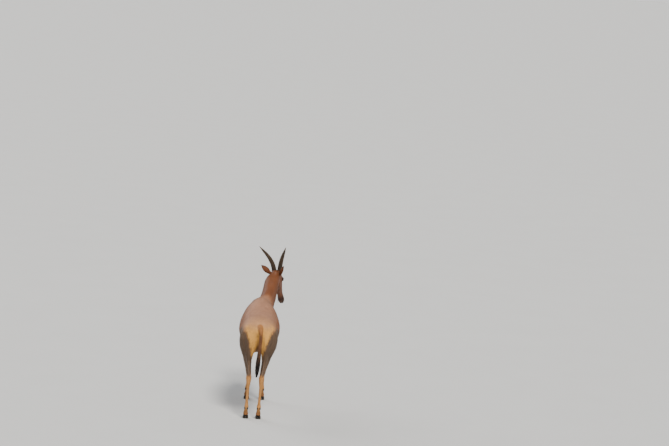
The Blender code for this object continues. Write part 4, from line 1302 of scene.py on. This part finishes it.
def whiskers():
    """A few stiff dark hairs on the lips and chin."""
    lines = []
    for side in SIDES:
        for _ in range(34):
            along, out = RNG.uniform(0.385, 0.440), RNG.uniform(-0.100, -0.046)
            start = on_head((along, 0.020, out), side)
            way = on_head((along + 0.004, 0.050, out - 0.010), side) - start + RNG.normal(0, 0.004, 3)
            length = RNG.uniform(0.008, 0.020)
            lines.append(hair_line(start, unit(way), 0.010 + length, DOWN_FACE * 0.20 * length, 7))
    yield "whiskers", np.array(lines), 0.00022 * np.array((1, 1, 1, 0.9, 0.7, 0.5, 0.1)), BLACK, 3


# ---------------------------------------------------------------- horns, hooves and eyes
HORN_SIDES = 40
CORNEA, BULGE = 0.0125, 0.0013  # radius, and how far it stands out of the eyeball


def horn_line(side, t):
    """The horn's curve, at t from 0 to 1: up, then out and back, then up again."""
    t = t[:, None]
    out = 0.012 * t + 0.110 * t**1.6
    back = 0.020 * t + 0.160 * t**2 - 0.012 * t**6
    rise = 0.340 * t - 0.075 * t**2 + 0.030 * t**5
    return on_head(HORN_BASE, side) + (HEAD_LEFT * side * out - HEAD_AHEAD * back + HEAD_UP * rise)


def build_horn(side, finish):
    """A stout horn, ringed strongly in front and weakly behind, with a smooth tip."""
    t = np.concatenate([[-0.05], np.linspace(0, 0.80, 420), np.linspace(0.803, 0.999, 70)])
    share = np.maximum(t, 0)
    centre = horn_line(side, share)
    ahead = unit(horn_line(side, share + 0.01) - centre)
    centre[0] -= ahead[0] * 0.07 * HORN_LENGTH
    across = unit(HEAD_LEFT - ahead * (ahead @ HEAD_LEFT)[:, None])
    front = np.cross(across, ahead)
    turn = TURN * np.arange(HORN_SIDES) / HORN_SIDES
    share = share[:, None]
    taper = HORN_RADIUS * (1 - 0.38 * share - 0.54 * share**4) * np.where(t < 0, 0.6, 1)[:, None]
    ringed = step(0.80 - share, 0, 0.16) * step(share, 0.015, 0.06)
    rings = share / 0.78 * HORN_RINGS * (1 + 0.06 * np.sin(share * 23))
    wave = (rings + 0.16 * np.sin(turn)) % 1.0
    crest = np.clip(np.minimum(wave / 0.62, (1 - wave) / 0.30), 0, 1) ** 0.8
    facing = 0.40 + 0.60 * step(np.sin(turn), -0.7, 0.7)
    flutes = 0.010 * np.sin(turn * 9 + 5 * share) + 0.008 * np.sin(turn * 17 + side)
    radius = taper * (1 + 0.115 * ringed * facing * (crest - 0.45) + flutes * (1 - share))
    radius = radius + 0.0004 * np.sin(turn * 5 + rings * 7) * np.sin(rings * 11) * ringed
    points = centre[:, None] + across[:, None] * (radius * np.cos(turn))[:, :, None]
    points = points + front[:, None] * (radius * np.sin(turn))[:, :, None]
    points = np.concatenate([points.reshape(-1, 3), centre[:1], centre[-1:] + ahead[-1:] * 0.0006])
    made = from_arrays(f"horn_{SIDES[side]}_ringed", points, capped_tube(len(t), HORN_SIDES))
    for name, values in (
        ("horn_place", (turn / 6.3, share, crest * ringed * facing)),
        ("grain", (np.cos(turn) * 3, np.sin(turn) * 3, share * 2.2)),
    ):
        rows = np.stack(np.broadcast_arrays(*values), 2).reshape(-1, 3)
        paint(made, name, np.concatenate([rows, ((0, 0, 0), (0, 1, 0))]))
    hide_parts(f"horn_{SIDES[side]}")
    hand_in(made, finish, "horn")


def finer(name, source, voxel, passes):
    """A smoothed copy of a CAD node, which it stands for."""
    made = added(name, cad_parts[source].data.copy())
    made.data.materials.clear()
    with_modifier(made, "REMESH", mode="VOXEL", voxel_size=voxel)
    points = points_of(made)
    set_points(made, eased_in_place(points, edges_of(made), passes, np.full(len(points), 0.5)))
    shade_smooth(made)
    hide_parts(source)
    return made


def build_hoof(end, name, finish):
    """A hoof with growth ridges and two rounded claws, and the two dewclaws behind it."""
    hoof = finer(f"claws_{end}_{name}", f"hoof_{end}_{name}", 0.0016, 16)
    points = points_of(hoof)
    height = points[:, 2]
    wall = step(height, 0.004, 0.012) * step(CORONET - 0.006 - height, 0, 0.01)
    ridge = 0.00008 * np.sin(height / 0.0042 * TURN + 0.8 * wobble(points, 0.03, 41))
    points = points + normals_of(hoof) * (ridge * wall)[:, None]
    low, high = points.min(0), points.max(0)
    middle = (low[0] + high[0]) / 2
    x, y, z = points.T
    away = x - middle
    x -= np.sign(away) * 0.0020 * (1 - step(np.abs(away), 0.003, 0.019))
    z -= 0.008 * step(y, low[1] + 0.030, high[1]) * step(z, 0.026, 0.050)
    drawn_in = 0.13 * step(z, 0.022, 0.050)
    x += (middle - x) * drawn_in
    y += (high[1] - PASTERN_IN - y) * drawn_in
    np.maximum(z, 0, out=z)
    set_points(hoof, points)
    hand_in(hoof, finish, "hoof")
    for where in ("inner", "outer"):
        claw = finer(f"small_claw_{end}_{name}_{where}", f"dewclaw_{end}_{name}_{where}", 0.0012, 5)
        points = points_of(claw)
        root = np.array((points[:, 0].mean(), points[:, 1].min(), points[:, 2].max()))
        set_points(claw, root + (points - root) * (0.85, 0.58, 0.74))
        hand_in(claw, finish, "hoof")


def build_eyeball(side, finish):
    """An eyeball with a bulging cornea."""
    bm = bmesh.new()
    bmesh.ops.create_uvsphere(bm, u_segments=64, v_segments=48, radius=EYEBALL)
    for vertex in bm.verts:
        off_axis = math.hypot(vertex.co.x, vertex.co.y)
        if vertex.co.z > 0:
            vertex.co.z += BULGE * max(0.0, 1 - (off_axis / CORNEA) ** 2) ** 2
    eye = from_bmesh(f"eyeball_{SIDES[side]}", bm)
    shade_smooth(eye)
    gaze = eye_axes(side)[0]
    level = unit(np.cross(UP, gaze))
    axes = Matrix((Vector(level), Vector(np.cross(gaze, level)), Vector(gaze))).transposed().to_4x4()
    eye.matrix_world = Matrix.Translation(Vector(EYES[side])) @ axes
    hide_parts(f"eye_{SIDES[side]}")
    hand_in(eye, finish, "eye")


def build_lid_rim(side, finish):
    """The bare rim of the lids, thicker at the corner by the nose."""
    gaze, nose, up = eye_axes(side)
    rings, sides = 96, 10
    turn = TURN * np.arange(rings) / rings
    share = np.cos(turn)
    x = 0.98 * HALF_EYE * share
    y = 0.98 * half_opening(share, np.sin(turn) > 0) * np.sin(turn)
    front = np.sqrt(LID_RIM**2 - x**2 - y**2)
    line = EYES[side] + np.outer(x, nose) + np.outer(y, up) + np.outer(front, gaze)
    ahead = unit(np.roll(line, -1, 0) - np.roll(line, 1, 0))
    outward = unit(line - EYES[side])
    ring = (TURN * np.arange(sides) / sides)[:, None]
    offset = outward[:, None] * np.sin(ring) * 0.8 + np.cross(ahead, outward)[:, None] * np.cos(ring)
    thick = 0.0005 + 0.0004 * step(share, 0.80, 1.0)
    points = (line[:, None] + offset * thick[:, None, None]).reshape(-1, 3)
    rim = from_arrays(f"lid_rim_{SIDES[side]}", points, tube_faces(rings, sides, closed=True))
    hand_in(rim, finish, "eye")


# ---------------------------------------------------------------- the studio
FLOOR_RADIUS = 260
HORIZON = (0.985, 0.98, 0.96)
ZENITH = (0.34, 0.35, 0.375)
SUNS = {  # the way to each, its strength, its width in degrees, and its colour
    "key": ((-0.28, 0.80, 1.15), 3.9, 16, (1.0, 0.97, 0.93)),
    "fill": ((0.80, -0.60, 0.60), 1.6, 40, (0.96, 0.98, 1.0)),
}

# The camera stands behind the rump and a little above it, and leans.
AIM = MIDDLE + (0, 0.30, 0.90)
AIM_ACROSS, AIM_DOWN = 0.387593, 0.748879  # where the aim is seen, in shares of the frame's sides
FRAME_SHAPE = 2 / 3  # the frame's height as a share of its width
DISTANCE = 19.98
ELEVATION, ROLL = np.radians((12, 3.2))
LENS, SENSOR = 100.0, 36.0  # in millimetres
SIGHT = 400  # how far the camera sees


def build_floor():
    """A wide plain floor."""
    bm = bmesh.new()
    bmesh.ops.create_circle(bm, cap_ends=True, segments=96, radius=FLOOR_RADIUS)
    floor = from_bmesh("studio_floor", bm)
    floor.data.materials.append(floor_look())


def build_lights():
    """A sky that is palest at the horizon, and two broad soft suns."""
    world = bpy.data.worlds.new("studio")
    world.use_nodes = True
    sky = Nodes(world.node_tree)
    height = sky.new("SeparateXYZ", {0: sky.new("TexCoord", {}, "Generated")}, "Z")
    shade = sky.ramp(height, (0.04, HORIZON), (0.45, ZENITH))
    sky.put(world.node_tree.nodes["Background"], {"Color": shade})
    bpy.context.scene.world = world
    for name, (way, strength, width, colour) in SUNS.items():
        data = bpy.data.lights.new(name, "SUN")
        data.energy, data.angle, data.color = strength, math.radians(width), colour
        light = added(name, data)
        light.rotation_mode = "QUATERNION"
        light.rotation_quaternion = Vector(way).to_track_quat("Z", "Y")


def build_camera():
    """The camera, turned so that its aim is seen at its shares of the frame."""
    data = bpy.data.cameras.new("camera")
    data.lens, data.sensor_width, data.clip_end = LENS, SENSOR, SIGHT
    camera = added("camera", data)
    back = Vector((0, math.cos(ELEVATION), math.sin(ELEVATION)))
    across = (AIM_ACROSS - 0.5) * SENSOR / LENS
    down = (AIM_DOWN - 0.5) * FRAME_SHAPE * SENSOR / LENS
    right = across * math.cos(ROLL) + down * math.sin(ROLL)
    above = across * math.sin(ROLL) - down * math.cos(ROLL)
    turn = Matrix.Rotation(math.atan(right), 4, "Y") @ Matrix.Rotation(-math.atan(above), 4, "X")
    look = (-back).to_track_quat("-Z", "Y").to_matrix().to_4x4()
    place = Matrix.Translation(Vector(AIM) + back * DISTANCE)
    camera.matrix_world = place @ look @ turn @ Matrix.Rotation(ROLL, 4, "Z")
    bpy.context.scene.camera = camera


# ---------------------------------------------------------------- everything
def build_animal():
    """Every piece of the animal."""
    skin = build_skin()
    points, normals = points_of(skin), normals_of(skin)
    paint(skin, "coat_colour", coat_colour(points, normals))
    paint(skin, "run", lie_of_coat(points, normals))
    paint(skin, "bare_nose", nose_pad(points))
    skin.data.materials.clear()
    build_coat(skin, unwrapped(skin))
    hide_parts(*FLESH, "tail", "ear_left", "ear_right")
    hand_in(skin, skin_look(), "coat")

    on_map = root_finder(skin)
    tail_look = hair_look("tail_hair", 0.42, 0.35)
    fine_look = hair_look("ear_hair", 0.5, COAT_GLOSS)
    for grow in (tassel, ear_hair, eyelashes, whiskers):
        finish, slot = (tail_look, "tail_hair") if grow is tassel else (fine_look, "coat")
        for kind in grow():
            hand_in(locks(*kind, on_map), finish, slot)

    horn, hoof, eye, lid = horn_look(), hoof_look(), eye_look(), lid_look()
    for side in SIDES:
        build_horn(side, horn)
        build_eyeball(side, eye)
        build_lid_rim(side, lid)
    for end in ENDS:
        for name in SIDES.values():
            build_hoof(end, name, hoof)


build_animal()
build_floor()
build_lights()
build_camera()
